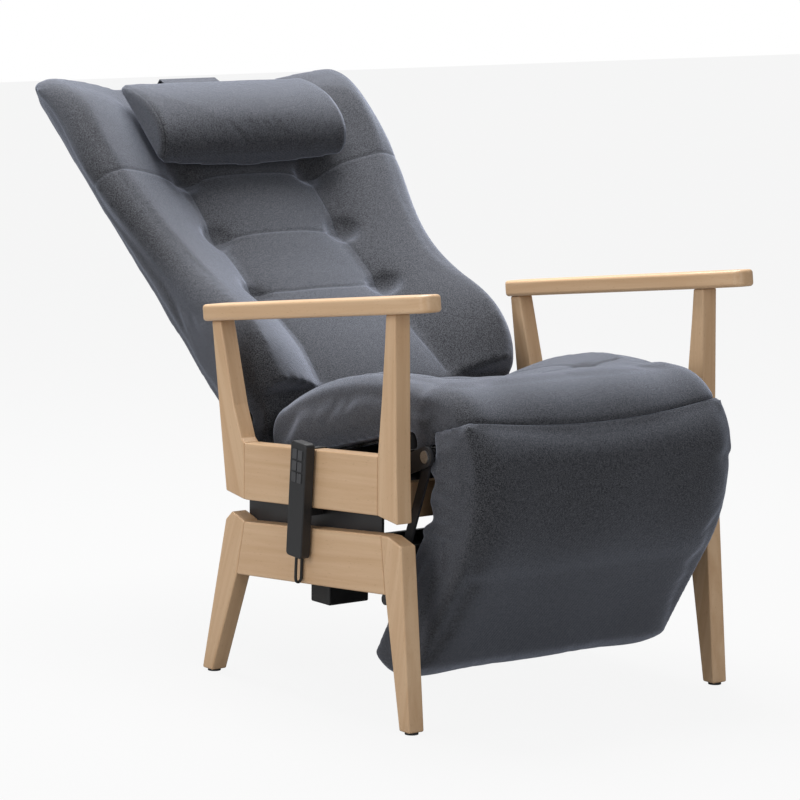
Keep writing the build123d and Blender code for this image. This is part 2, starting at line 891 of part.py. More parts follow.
cord_route = [(x - frame_half_width, y, z) for x, y, z in cord_points]
socket_end_x, socket_end_y, socket_end_z = cord_route[-1]
rail_under = line_z(arm_rail_front_bottom, arm_rail_rear_bottom, socket_end_y)
under_slope = degrees(
    atan2(
        arm_rail_rear_bottom[1] - arm_rail_front_bottom[1],
        arm_rail_rear_bottom[0] - arm_rail_front_bottom[0],
    )
)
socket = Pos(socket_size[0] / 2, 0, -socket_size[2] / 2) * Box(*socket_size)
socket = fillet(socket.edges().filter_by(Axis.X), wood_easing / 2)
save(
    "cord_socket",
    Pos(socket_end_x, socket_end_y, rail_under) * Rot(under_slope, 0, 0) * socket,
)


def cord_radii(points):
    """Bend radius at each inner point, from a share of its shorter run."""
    radii = []
    for before, here, after in zip(points, points[1:], points[2:]):
        run_in = Vector(*here) - Vector(*before)
        run_out = Vector(*after) - Vector(*here)
        turn = run_in.get_angle(run_out)
        shorter = min(run_in.length, run_out.length)
        radii.append(route_bend_share * shorter / tan(radians(turn / 2)))
    return radii


radii = cord_radii(cord_route)
cord_line = FilletPolyline(*cord_route, radius=radii)
cord_start = Plane(origin=cord_line @ 0, z_dir=cord_line % 0)
cord = sweep(cord_start * Circle(cord_diameter / 2), path=cord_line)
save("handset_cord", cord)
print("cord radii", [round(r, 1) for r in radii])
cord_section = pi * cord_diameter**2 / 4
print("cord length", round(cord_line.length, 1), "volume share", cord.volume / cord_section / cord_line.length)


# Seat, drawn level: y runs back from the seat pivot and z stands square to the seat

nose_centre = to_seat(leg_hinge)
hinge_centre = to_seat(back_hinge)


def ray(centre, radius, angle):
    """Point at the radius from the centre, at an angle counterclockwise from +Y."""
    return (centre[0] + radius * cos(radians(angle)), centre[1] + radius * sin(radians(angle)))


def seat_outline(crest, inset):
    """Side view of the seat cushion: a rolled nose, a crowned top and a round rear end."""
    top = crest - inset
    reach = nose_radius - inset
    inner = nose_radius - nose_wall
    nose_top = ray(nose_centre, reach, nose_top_angle)
    nose_low = ray(nose_centre, reach, nose_low_angle)
    inner_low = ray(nose_centre, inner, nose_low_angle)
    inner_top = ray(nose_centre, inner, nose_inner_angle)
    crest_point = (seat_crest_place, top)
    rear_top = (seat_rear_top_place, top * seat_top_share)
    rear_end = (seat_rear - inset - spring_radius, (top + seat_bottom) / 2)
    rear_low = (seat_rear - inset - edge_inset, seat_bottom)
    front_middle = ((nose_top[0] + seat_crest_place) / 2, (nose_top[1] + top) / 2)
    rear_middle = ((seat_crest_place + seat_rear_top_place) / 2, top * (3 + seat_top_share) / 4)
    bulge = (top - nose_top[1]) * seat_bulge_share + back_crown / 2
    return [
        ThreePointArc(nose_low, ray(nose_centre, reach, 0.5 * (nose_low_angle + nose_top_angle)), nose_top),
        ThreePointArc(nose_top, added(front_middle, (0, bulge)), crest_point),
        ThreePointArc(crest_point, added(rear_middle, (0, back_crown / 3)), rear_top),
        ThreePointArc(rear_top, rear_end, rear_low),
        Line(rear_low, (seat_toe_place, seat_bottom)),
        Line((seat_toe_place, seat_bottom), inner_top),
        ThreePointArc(
            inner_top, ray(nose_centre, inner, 0.5 * (nose_inner_angle + nose_low_angle)), inner_low
        ),
        Line(inner_low, nose_low),
    ]


def crown_loft(shares, outline):
    """Cushion lofted across X: outline(i) draws the side view at shares[i] of the half width."""
    faces = []
    last = len(shares) - 1
    order = list(range(last + 1)) + list(range(last - 1, -1, -1))
    for step, i in enumerate(order):
        sign = -1 if step <= last else 1
        faces.append(side_face(outline(i), sign * seat_half_width * shares[i]))
    return loft(faces)


def seat_section(i):
    rise = seat_side_crest - seat_middle_crest
    crest = seat_middle_crest + rise * seat_dish_shares[i]
    return seat_outline(crest, seat_end_inset * seat_inset_shares[i])


seat_cushion = crown_loft(seat_band_shares, seat_section)
cheek = round_bar(nose_centre, nose_radius - seat_end_inset, -seat_half_width, nose_cheek)
cheek_open = [ray(nose_centre, 2 * nose_radius, angle) for angle in cheek_open_angles]
cheek -= prism([nose_centre, *cheek_open], -seat_half_width - overrun, nose_cheek + 2 * overrun)
seat_cushion += group(cheek, mirror(cheek, about=Plane.YZ))
cheek_bore = hinge_tube_radius + hinge_pocket_gap
tube_notch = tube / 2 + sheet_gap
seat_cushion -= round_bar(
    nose_centre, cheek_bore, -seat_half_width - overrun, 2 * (seat_half_width + overrun)
)
seat_cushion -= box_between(
    (-seat_half_width - overrun, seat_front_tube - tube_notch, seat_tube_z - tube_notch),
    (seat_half_width + overrun, seat_front_tube + tube_notch, seat_tube_z + tube_notch),
)
nose_seam = capsule(
    ray(nose_centre, nose_radius - seam_depth, nose_seam_angle),
    ray(nose_centre, nose_radius + seam_depth, nose_seam_angle),
    seam_width / 2,
    -seat_half_width - overrun,
    2 * (seat_half_width + overrun),
)
seat_cushion -= nose_seam
tuft_ball = (tuft_radius**2 + tuft_depth**2) / tuft_depth / 2
tuft_top = seat_middle_crest + (seat_side_crest - seat_middle_crest) * seat_dish_shares[-2]
for x in (-back_seam_half, back_seam_half):
    seat_cushion -= Pos(x, seat_tuft_place, tuft_top + tuft_ball - tuft_depth - back_crown) * Sphere(tuft_ball)
save("seat_cushion", seat_place(seat_cushion))

seat_side = capsule(
    nose_centre, (0, seat_bar_half_width), nose_bar_half_width, seat_plate_inner, seat_plate
)
seat_side += capsule((0, seat_bar_half_width), (0, 0), seat_bar_half_width, seat_plate_inner, seat_plate)
seat_side += capsule(
    (0, seat_bar_half_width),
    (seat_elbow, seat_tube_z),
    seat_bar_half_width,
    seat_plate_inner,
    seat_plate,
)
seat_side += capsule(
    (seat_elbow, seat_tube_z), hinge_centre, seat_bar_half_width, seat_plate_inner, seat_plate
)
seat_side -= round_bar((0, 0), pin_radius + running_fit, seat_plate_inner - overrun, seat_plate + 2 * overrun)
for pivot in (nose_centre, hinge_centre):
    seat_side -= round_bar(pivot, pin_radius, seat_plate_inner - overrun, seat_plate + 2 * overrun)
seat_tubes = [
    square_tube((place, seat_tube_z), seat_plate_inner)
    for place in (seat_front_tube, seat_middle_tube, seat_rear_tube)
]

leg_pin = added(
    nose_centre,
    (leg_crank * sin(radians(leg_crank_angle)), -leg_crank * cos(radians(leg_crank_angle))),
)
leg_depth, leg_half = crank_heights(leg_crank, leg_crank_angle, leg_crank_angle - leg_travel)
leg_axis = nose_centre[1] - leg_depth
leg_lug = box_between(
    (leg_actuator_x - yoke_thick, seat_middle_tube - tube / 2, leg_axis + motor_radius),
    (leg_actuator_x + yoke_thick, seat_middle_tube + tube / 2, seat_tube_z - tube / 2),
)
back_pin = added(
    hinge_centre,
    (-back_crank * sin(radians(back_crank_angle)), -back_crank * cos(radians(back_crank_angle))),
)
back_depth, back_half = crank_heights(
    back_crank, back_crank_angle + back_travel_down, back_crank_angle - back_travel_up
)
back_axis = hinge_centre[1] - back_depth
back_lug = box_between(
    (back_actuator_x - yoke_thick, seat_middle_tube + tube / 2, back_axis - yoke_thick),
    (back_actuator_x + yoke_thick, back_gearbox_front, seat_tube_z + tube / 2),
)
seat_sides = [seat_side, mirror(seat_side, about=Plane.YZ)]
save("seat_frame", seat_place(group(*seat_sides, *seat_tubes, leg_lug, back_lug)))

spring_z = seat_tube_z + tube / 2 + spring_radius + soft_gap / 2
springs = []
for number in range(spring_count):
    x = spring_spread * (number / (spring_count - 1) - 0.5)
    length = seat_rear_tube - seat_front_tube
    middle = (seat_rear_tube + seat_front_tube) / 2
    springs.append(Pos(x, middle, spring_z) * Rot(90, 0, 0) * Cylinder(spring_radius, length))
save("seat_springs", seat_place(group(*springs)))


def inner_pin(centre, outer_face, tip):
    """Right-hand pin fixed in the seat plate, from its head outside to a tip inside."""
    head = round_bar(centre, pin_head_radius, -outer_face - pin_head_gap - pin_head, pin_head)
    return head + round_bar(centre, pin_radius, -outer_face - pin_head_gap, outer_face + pin_head_gap - tip)


pin_tip = leg_arm_inner - 2 * sheet_gap
save(
    "seat_hinge_pins",
    seat_place(
        both_sides(
            group(
                inner_pin(nose_centre, seat_plate_outer, pin_tip),
                inner_pin(hinge_centre, seat_plate_outer, pin_tip),
            )
        )
    ),
)
save(
    "leg_rest_actuator",
    seat_place(
        actuator(
            leg_actuator_x,
            leg_tube_mouth,
            leg_gearbox_back,
            leg_axis,
            leg_tube_mouth + leg_rod_inside + bore_spare,
            1,
        )
    ),
)
save(
    "leg_rest_rod",
    seat_place(
        rod_with_yoke(leg_actuator_x, leg_pin[0], leg_axis, leg_half, leg_tube_mouth + leg_rod_inside)
    ),
)
back_rod_end = back_tube_mouth - back_rod_inside
back_stroke_down = back_crank * (
    sin(radians(back_crank_angle + back_travel_down)) - sin(radians(back_crank_angle))
)
save(
    "back_actuator",
    seat_place(
        actuator(
            back_actuator_x,
            back_tube_mouth,
            back_gearbox_front,
            back_axis,
            back_rod_end - back_stroke_down - bore_spare,
            -1,
        )
    ),
)
save(
    "back_rod",
    seat_place(rod_with_yoke(back_actuator_x, back_pin[0], back_axis, back_half, back_rod_end)),
)


# Leg rest, drawn as it hangs from its hinge

pad_reach = nose_radius + nose_gap


def pad_outline(crown, inset):
    """Side view of the leg rest pad: hollow round the nose, bowed in front, round at the toe."""
    out = inset - crown
    lip = added(pad_lip, (out, 0))
    upper = added(pad_upper_front, (out, 0))
    middle = added(pad_mid_front, (out * pad_slant[0], out * pad_slant[1]))
    toe_front = added(pad_toe_front, (out * pad_slant[0], out * pad_slant[1]))
    toe_low = added(pad_toe_low, (0, inset))
    toe_back = added(pad_toe_back, (inset * pad_slant[1], inset * pad_slant[0]))
    lip_angle = degrees(atan2(pad_lip[1], pad_lip[0]))
    heel_angle = pad_heel_angle - pad_heel_turn * inset
    start = ray((0, 0), pad_reach, lip_angle)
    heel = ray((0, 0), pad_reach, heel_angle)
    bend = ray((0, 0), pad_reach, (lip_angle + heel_angle) / 2)
    back_middle = added(pad_mid_back, (inset * pad_slant[1] / 2, 0))
    return [
        ThreePointArc(lip, upper, middle),
        Line(middle, toe_front),
        ThreePointArc(toe_front, toe_low, toe_back),
        Line(toe_back, back_middle),
        Line(back_middle, heel),
        ThreePointArc(heel, bend, start),
        Line(start, lip),
    ]


def pad_section(i):
    return pad_outline(pad_crown * pad_crown_shares[i], pad_end_inset * pad_inset_shares[i])


leg_pad = crown_loft(pad_band_shares, pad_section)
save("leg_rest_pad", leg_place(leg_pad))

pad_run = (pad_toe_back[0] - pad_mid_back[0], pad_toe_back[1] - pad_mid_back[1])
pad_run_length = hypot(*pad_run)
off = (-pad_run[1] / pad_run_length, pad_run[0] / pad_run_length)
tube_off = leg_tube_radius + leg_tube_gap
leg_tube_places = [
    (
        pad_mid_back[0] + share * pad_run[0] + tube_off * off[0],
        pad_mid_back[1] + share * pad_run[1] + tube_off * off[1],
    )
    for share in leg_tube_shares
]
leg_arm = capsule((0, 0), leg_tube_places[0], leg_arm_half_width, leg_arm_inner, leg_arm_plate)
leg_arm += capsule(*leg_tube_places, leg_arm_half_width, leg_arm_inner, leg_arm_plate)
leg_arm -= round_bar((0, 0), pin_radius + running_fit, leg_arm_inner - overrun, 3 * leg_arm_plate)
leg_tubes = [round_bar(p, leg_tube_radius, -leg_arm_inner, 2 * leg_arm_inner) for p in leg_tube_places]
hinge_bore = hinge_tube_radius - tube_wall
leg_pin_local = turned((leg_pin[0] - nose_centre[0], leg_pin[1] - nose_centre[1]), -seat_tilt)
leg_shaft = round_bar((0, 0), hinge_tube_radius, -leg_arm_inner, 2 * leg_arm_inner)
leg_shaft += crank((0, 0), leg_pin_local, leg_actuator_x)
leg_shaft -= round_bar((0, 0), hinge_bore, -leg_arm_inner - overrun, 2 * leg_arm_inner + 2 * overrun)
save(
    "leg_rest_frame",
    leg_place(group(leg_arm, mirror(leg_arm, about=Plane.YZ), leg_shaft, *leg_tubes)),
)


# Back, drawn upright: z runs up the back from its hinge and -Y is its front

panel_front = back_rear_plane - back_panel
board_front = panel_front - back_board
panel_low = -back_end_radius * panel_low_share
hinge_pocket = hinge_tube_radius + hinge_pocket_gap


def back_half(z):
    """Half width of the back's rear face at z."""
    return back_half_low + (back_half_high - back_half_low) * max(z, 0) / back_height


def station_value(shares, z):
    """Value of a row of station shares at height z, on straight lines between the stations."""
    places = [share * back_height for share in back_station_shares]
    for low, high, first, last in zip(places, places[1:], shares, shares[1:]):
        if z <= high:
            break
    return first + (last - first) * (z - low) / (high - low)


def back_section(z, sink=0):
    """Plan view of the back cushion at z, sunk at the front: bolsters beside a crowned middle."""
    rear_half = back_half(z)
    half = back_front_half * station_value(back_width_shares, z)
    crest_x = half * back_crest_share
    crest_y = back_rear_plane - back_bolster_height * station_value(back_bolster_shares, z) + sink
    valley_x = back_front_half * station_value(back_valley_shares, z)
    valley_y = back_rear_plane - back_bolster_height * station_value(back_middle_shares, z) + sink
    side_y = crest_y + back_side_share * (board_front - crest_y)
    shoulder = (
        half - (half - crest_x) * back_shoulder_shares[0],
        crest_y + (side_y - crest_y) * back_shoulder_shares[1],
    )
    slope = ((crest_x + valley_x) / 2, (crest_y + valley_y) / 2 - back_crown / 2)
    right = [
        Line((rear_half, panel_front), (half, side_y)),
        ThreePointArc((half, side_y), shoulder, (crest_x, crest_y)),
        ThreePointArc((crest_x, crest_y), slope, (valley_x, valley_y)),
    ]
    left = [
        ThreePointArc((-valley_x, valley_y), (-slope[0], slope[1]), (-crest_x, crest_y)),
        ThreePointArc((-crest_x, crest_y), (-shoulder[0], shoulder[1]), (-half, side_y)),
        Line((-half, side_y), (-rear_half, panel_front)),
    ]
    middle = ThreePointArc((valley_x, valley_y), (0, valley_y - back_crown), (-valley_x, valley_y))
    rear = Line((-rear_half, panel_front), (rear_half, panel_front))
    return Plane.XY.offset(z) * make_face([rear] + right + [middle] + left)


def upright_board(corners, front, thick):
    """Flat piece of the back from (x, z) corners, from y = front rearwards."""
    outline = Plane.XZ * make_face(Polyline(*corners, close=True))
    return Pos(0, front + thick, 0) * extrude(outline, thick)


back_body = loft([back_section(share * back_height) for share in back_station_shares])
roll = round_bar((0, 0), back_end_radius, -back_half_low, 2 * back_half_low)
roll -= box_between(
    (-back_front_half, board_front, -back_height), (back_front_half, back_height, back_height)
)
back_cushion = back_body + roll
board_top = back_height - back_wrap
pocket_half_low = back_half(0) - back_wrap
pocket_half_high = back_half(board_top) - back_wrap
back_cushion -= upright_board(
    [
        (-pocket_half_low, -back_height),
        (pocket_half_low, -back_height),
        (pocket_half_low, 0),
        (pocket_half_high, board_top),
        (-pocket_half_high, board_top),
        (-pocket_half_low, 0),
    ],
    board_front,
    back_board + overrun,
)
back_cushion -= round_bar((0, 0), hinge_pocket, -back_front_half, 2 * back_front_half)
back_cushion -= box_between(
    (-back_front_half, 0, -hinge_pocket), (back_front_half, board_front + overrun, hinge_pocket)
)
back_pin_local = turned(
    (back_pin[0] - hinge_centre[0], back_pin[1] - hinge_centre[1]), back_lean - seat_tilt
)
crank_slot_half = yoke_thick / 2 + yoke_gap + crank_plate + crank_slot_gap
back_cushion -= capsule(
    (0, 0),
    back_pin_local,
    crank_half_width + crank_slot_gap,
    back_actuator_x - crank_slot_half,
    2 * crank_slot_half,
)
for share in back_seam_shares:
    z = share * back_height
    low = (-back_front_half - overrun, -back_height, z - seam_width / 2)
    high = (back_front_half + overrun, board_front, z + seam_width / 2)
    core = Pos(0, 0, -seam_width) * extrude(back_section(z, seam_depth), 2 * seam_width)
    back_cushion -= box_between(low, high) - core
seam_heights = [share * back_height for share in back_station_shares if share < back_seam_shares[-1]]
seam_heights.append(back_seam_shares[-1] * back_height)
seam_line = [
    (back_rear_plane - back_bolster_height * station_value(back_middle_shares, z), z) for z in seam_heights
]
knife_points = [(y + seam_depth, z) for y, z in seam_line]
knife_points += [(y - seam_reach, z) for y, z in reversed(seam_line)]
for x in (-back_seam_half, back_seam_half):
    back_cushion -= prism(knife_points, x - seam_width / 2, seam_width)
for share in back_seam_shares:
    z = share * back_height
    y = back_rear_plane - back_bolster_height * station_value(back_middle_shares, z)
    for x in (-back_seam_half, back_seam_half):
        back_cushion -= Pos(x, y - tuft_ball + tuft_depth, z) * Sphere(tuft_ball)
save("back_cushion", back_place(back_cushion))

stile_inner_low = pocket_half_low - back_stile
stile_inner_high = pocket_half_high - back_stile
stile = upright_board(
    [
        (stile_inner_low, board_low),
        (pocket_half_low - soft_gap, board_low),
        (pocket_half_low - soft_gap, 0),
        (pocket_half_high - soft_gap, board_top - soft_gap),
        (stile_inner_high, board_top - soft_gap),
        (stile_inner_low, 0),
    ],
    board_front,
    back_board,
)
boards = [stile, mirror(stile, about=Plane.YZ)]
for share in back_rail_shares:
    bottom = board_low + share * (board_top - soft_gap - board_low - back_rail_height)
    corners = []
    for z in (bottom, bottom + back_rail_height):
        half = stile_inner_low + (stile_inner_high - stile_inner_low) * max(z, 0) / board_top
        corners.append((half, z))
    (half_low, z_low), (half_high, z_high) = corners
    points = [(-half_low, z_low), (half_low, z_low), (half_high, z_high), (-half_high, z_high)]
    if z_low < 0:
        points = [
            (-half_low, z_low),
            (half_low, z_low),
            (half_low, 0),
            (half_high, z_high),
            (-half_high, z_high),
            (-half_low, 0),
        ]
    boards.append(upright_board(points, board_front, back_board))
board_frame = boards[0]
for piece in boards[1:]:
    board_frame += piece
save("back_board_frame", back_place(board_frame))

back_shaft = round_bar((0, 0), hinge_tube_radius, -leg_arm_outer, 2 * leg_arm_outer)
back_shaft += crank((0, 0), back_pin_local, back_actuator_x)
for x in (-back_bracket_x, back_bracket_x):
    back_shaft += box_between(
        (x - back_bracket / 2, 0, -hinge_tube_radius), (x + back_bracket / 2, board_front, hinge_tube_radius)
    )
back_shaft -= round_bar((0, 0), hinge_bore, -leg_arm_outer - overrun, 2 * leg_arm_outer + 2 * overrun)
end_ring = round_bar((0, 0), hinge_bore, -leg_arm_outer, back_ring)
end_ring -= round_bar((0, 0), pin_radius + running_fit, -leg_arm_outer - overrun, back_ring + 2 * overrun)
save("back_hinge_shaft", back_place(back_shaft + end_ring + mirror(end_ring, about=Plane.YZ)))

cover = upright_board(
    [
        (-back_half_low, panel_low),
        (back_half_low, panel_low),
        (back_half_low, 0),
        (back_half_high, back_height),
        (-back_half_high, back_height),
        (-back_half_low, 0),
    ],
    panel_front,
    back_panel,
)
save("back_cover", back_place(cover))


# Head pillow, its strap over the top of the back and the counterweight behind

strap_plane = back_rear_plane - pillow_plane
pillow_rear = strap_plane - pillow_sink


def pillow_section(i, sign):
    """Side view of the pillow: thin above, full below, and sunk into the hollow of the back."""
    inset = pillow_inset * pillow_inset_shares[i]
    depth = pillow_depth - inset
    height = pillow_height - 2 * inset
    low = pillow_bottom + inset
    rear = pillow_rear + pillow_sink * pillow_sink_shares[i]
    front = [(pillow_rear - depth * out, low + height * up) for out, up in pillow_front_shares]
    edges = [
        Spline(*front),
        Line(front[-1], (rear, low)),
        Line((rear, low), (rear, low + height)),
        Line((rear, low + height), front[0]),
    ]
    return side_face(edges, sign * pillow_half_length * pillow_band_shares[i])


pillow_last = len(pillow_band_shares) - 1
pillow_faces = [pillow_section(i, -1) for i in range(pillow_last + 1)]
pillow_faces += [pillow_section(i, 1) for i in range(pillow_last - 1, -1, -1)]
pillow = loft(pillow_faces, ruled=True)
save("head_pillow", back_place(pillow))

strap_front_y = strap_plane + soft_gap
strap_turn_y = back_rear_plane - back_bolster_height * back_middle_shares[-1] - 2 * back_crown
strap_turn_z = pillow_bottom + pillow_height
strap_behind_y = back_rear_plane + soft_gap
strap_over_z = back_height + soft_gap
strap_low_front = pillow_bottom + pillow_height * strap_tuck_share
strap_low_rear = weight_top - weight_height - weight_depth
strap_outer = [
    (strap_front_y, strap_low_front),
    (strap_front_y, strap_turn_z),
    (strap_turn_y, strap_over_z + strap_thick),
    (strap_behind_y + strap_thick, strap_over_z + strap_thick),
    (strap_behind_y + strap_thick, strap_low_rear),
    (strap_behind_y, strap_low_rear),
    (strap_behind_y, strap_over_z),
    (strap_turn_y + strap_thick, strap_over_z),
    (strap_front_y + strap_thick, strap_turn_z),
    (strap_front_y + strap_thick, strap_low_front),
]
save("pillow_strap", back_place(prism(strap_outer, -strap_width / 2, strap_width)))

weight_front = strap_behind_y + strap_thick + soft_gap
weight = box_between(
    (-weight_half_length, weight_front, weight_top - weight_height),
    (weight_half_length, weight_front + weight_depth, weight_top),
)
save("pillow_counterweight", back_place(fillet(weight.edges(), weight_depth / 4)))
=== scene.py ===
"""Upholstery, finishes, light and camera of a powered rise-and-recline armchair."""

import logging
import math
from dataclasses import dataclass, field
from enum import Enum

import bmesh
import bpy
import numpy as np
from bmesh.types import BMEdge, BMesh
from bpy.types import Material, Mesh, Node, NodeSocket, NodeTree, Object
from mathutils import Matrix, Vector

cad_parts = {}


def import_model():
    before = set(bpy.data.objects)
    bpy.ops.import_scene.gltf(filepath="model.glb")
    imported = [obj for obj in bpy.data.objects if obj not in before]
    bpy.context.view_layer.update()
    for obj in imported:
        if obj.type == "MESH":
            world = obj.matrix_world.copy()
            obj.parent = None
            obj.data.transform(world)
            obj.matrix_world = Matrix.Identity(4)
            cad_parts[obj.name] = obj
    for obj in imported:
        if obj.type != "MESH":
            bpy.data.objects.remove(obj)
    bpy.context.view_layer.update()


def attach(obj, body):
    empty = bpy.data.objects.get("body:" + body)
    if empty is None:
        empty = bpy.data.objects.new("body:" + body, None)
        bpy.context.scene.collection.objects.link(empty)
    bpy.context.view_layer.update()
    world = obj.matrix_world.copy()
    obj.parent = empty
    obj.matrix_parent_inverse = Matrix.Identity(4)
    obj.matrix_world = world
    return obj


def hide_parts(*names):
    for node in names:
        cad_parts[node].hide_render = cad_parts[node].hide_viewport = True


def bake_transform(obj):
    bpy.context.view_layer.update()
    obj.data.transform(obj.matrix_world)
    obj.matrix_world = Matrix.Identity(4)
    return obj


LOG = logging.getLogger("armchair")
MM = 0.001
PAIR = ("right", "left")
Triple = tuple[float, float, float]


class Run(Enum):
    """Grain direction of a beech piece, as a slope from +Y towards +Z in degrees."""

    FRONT_LEG = 99.0
    REAR_LEG = -69.0
    BASE_RAIL = -5.2
    FRONT_POST = 90.0
    REAR_POST = 71.0
    ARM_RAIL = -4.4
    ARMREST = -7.15
    CROSS_RAIL = 0.0


def fill(tree: NodeTree, node: Node, **sockets: object) -> None:
    """Set or link a node's inputs.

    Args:
        tree: The node's tree.
        node: The node.
        **sockets: Values or output sockets. A key is the input's name with underscores
            for spaces, or i and the input's index.
    """
    for key, value in sockets.items():
        numbered = key[0] == "i" and key[1:].isdigit()
        socket = node.inputs[int(key[1:]) if numbered else key.replace("_", " ")]
        if isinstance(value, NodeSocket):
            tree.links.new(value, socket)
        else:
            socket.default_value = value


def add_node(tree: NodeTree, kind: str, settings: dict | None = None, **sockets: object) -> Node:
    """Add a node, set its properties and fill its inputs.

    Args:
        tree: The tree that gets the node.
        kind: The node's type without its ShaderNode prefix.
        settings: Properties of the node.
        **sockets: Inputs, as fill takes them.

    Returns:
        The new node.
    """
    node = tree.nodes.new("ShaderNode" + kind)
    for key, value in (settings or {}).items():
        setattr(node, key, value)
    fill(tree, node, **sockets)
    return node


def combine(tree: NodeTree, operation: str, first: NodeSocket, second: object = 0.0) -> NodeSocket:
    """Add a math node.

    Args:
        tree: The tree that gets the node.
        operation: The node's operation.
        first: The socket of its first value.
        second: Its second value or that value's socket.

    Returns:
        The node's output.
    """
    return add_node(tree, "Math", {"operation": operation}, i0=first, i1=second).outputs[0]


def remap(
    tree: NodeTree,
    value: NodeSocket,
    given: tuple[float, float],
    made: tuple[float, float] = (0.0, 1.0),
) -> NodeSocket:
    """Add a node that takes one range of a value to another and clamps it.

    Args:
        tree: The tree that gets the node.
        value: The value's socket.
        given: The range that is taken.
        made: The range that it becomes.

    Returns:
        The node's output.
    """
    ends = dict(zip(("i1", "i2", "i3", "i4"), (*given, *made)))
    return add_node(tree, "MapRange", {"clamp": True}, i0=value, **ends).outputs[0]


def mix_colours(tree: NodeTree, share: NodeSocket, first: object, second: object) -> NodeSocket:
    """Add a node that mixes two colours.

    Args:
        tree: The tree that gets the node.
        share: The second colour's share.
        first: The first colour or its socket.
        second: The second colour or its socket.

    Returns:
        The mixed colour's socket.
    """
    return add_node(tree, "Mix", {"data_type": "RGBA"}, i0=share, i6=first, i7=second).outputs[2]


def noise(tree: NodeTree, vector: NodeSocket, scale: object, **looks: float) -> NodeSocket:
    """Add a noise texture.

    Args:
        tree: The tree that gets the node.
        vector: Where the noise is read.
        scale: Its scale or the scale's socket.
        **looks: Its Detail, Roughness and Distortion.

    Returns:
        The noise's value.
    """
    return add_node(tree, "TexNoise", Vector=vector, Scale=scale, **looks).outputs[0]


def emboss(
    tree: NodeTree, shader: Node, height: NodeSocket, strength: float, distance: float
) -> None:
    """Give a shader a fine relief.

    Args:
        tree: The shader's tree.
        shader: The shader.
        height: The relief's height.
        strength: The relief's strength.
        distance: The relief's depth in metres.
    """
    bump = add_node(tree, "Bump", Strength=strength, Distance=distance, Height=height)
    fill(tree, shader, Normal=bump.outputs["Normal"])


def blank_material(name: str) -> tuple[Material, NodeTree, Node]:
    """Make a material with only an output and a Principled BSDF.

    Args:
        name: The material's name.

    Returns:
        The material, its node tree and its Principled BSDF.
    """
    material = bpy.data.materials.new(name)
    material.use_nodes = True
    tree = material.node_tree
    tree.nodes.clear()
    output = add_node(tree, "OutputMaterial")
    shader = add_node(tree, "BsdfPrincipled")
    fill(tree, output, Surface=shader.outputs["BSDF"])
    return material, tree, shader


def speckle_group() -> NodeTree:
    """Build the group that mottles a colour at two scales.

    Returns:
        A node group from a vector, two colours and two scales to a colour and a height.
    """
    tree = bpy.data.node_groups.new("Speckle", "ShaderNodeTree")
    inputs = {
        "Vector": "Vector",
        "Dark": "Color",
        "Light": "Color",
        "Fine Scale": "Float",
        "Coarse Scale": "Float",
    }
    for name, kind in inputs.items():
        tree.interface.new_socket(name, in_out="INPUT", socket_type="NodeSocket" + kind)
    for name, kind in {"Color": "Color", "Height": "Float"}.items():
        tree.interface.new_socket(name, in_out="OUTPUT", socket_type="NodeSocket" + kind)
    given = tree.nodes.new("NodeGroupInput").outputs
    result = tree.nodes.new("NodeGroupOutput")
    fine = noise(tree, given["Vector"], given["Fine Scale"], Detail=2.0, Roughness=0.6)
    coarse = noise(tree, given["Vector"], given["Coarse Scale"], Detail=3.0, Roughness=0.65)
    height = combine(tree, "ADD", fine, coarse)
    share = remap(tree, height, (0.86, 1.16))
    colour = mix_colours(tree, share, given["Dark"], given["Light"])
    fill(tree, result, Color=colour, Height=height)
    return tree


def mottle(
    tree: NodeTree, speckle: NodeTree, colours: tuple[Triple, Triple], scales: tuple[float, float]
) -> tuple[NodeSocket, NodeSocket]:
    """Add the speckle group over an object's own coordinates.

    Args:
        tree: The tree that gets the group.
        speckle: The mottling group.
        colours: The dark and the light colour.
        scales: The fine and the coarse scale.

    Returns:
        The sockets of the mottled colour and of its height.
    """
    dark, light = colours
    node = add_node(
        tree,
        "Group",
        {"node_tree": speckle},
        Vector=add_node(tree, "TexCoord").outputs["Object"],
        Dark=(*dark, 1),
        Light=(*light, 1),
        Fine_Scale=scales[0],
        Coarse_Scale=scales[1],
    )
    return node.outputs["Color"], node.outputs["Height"]


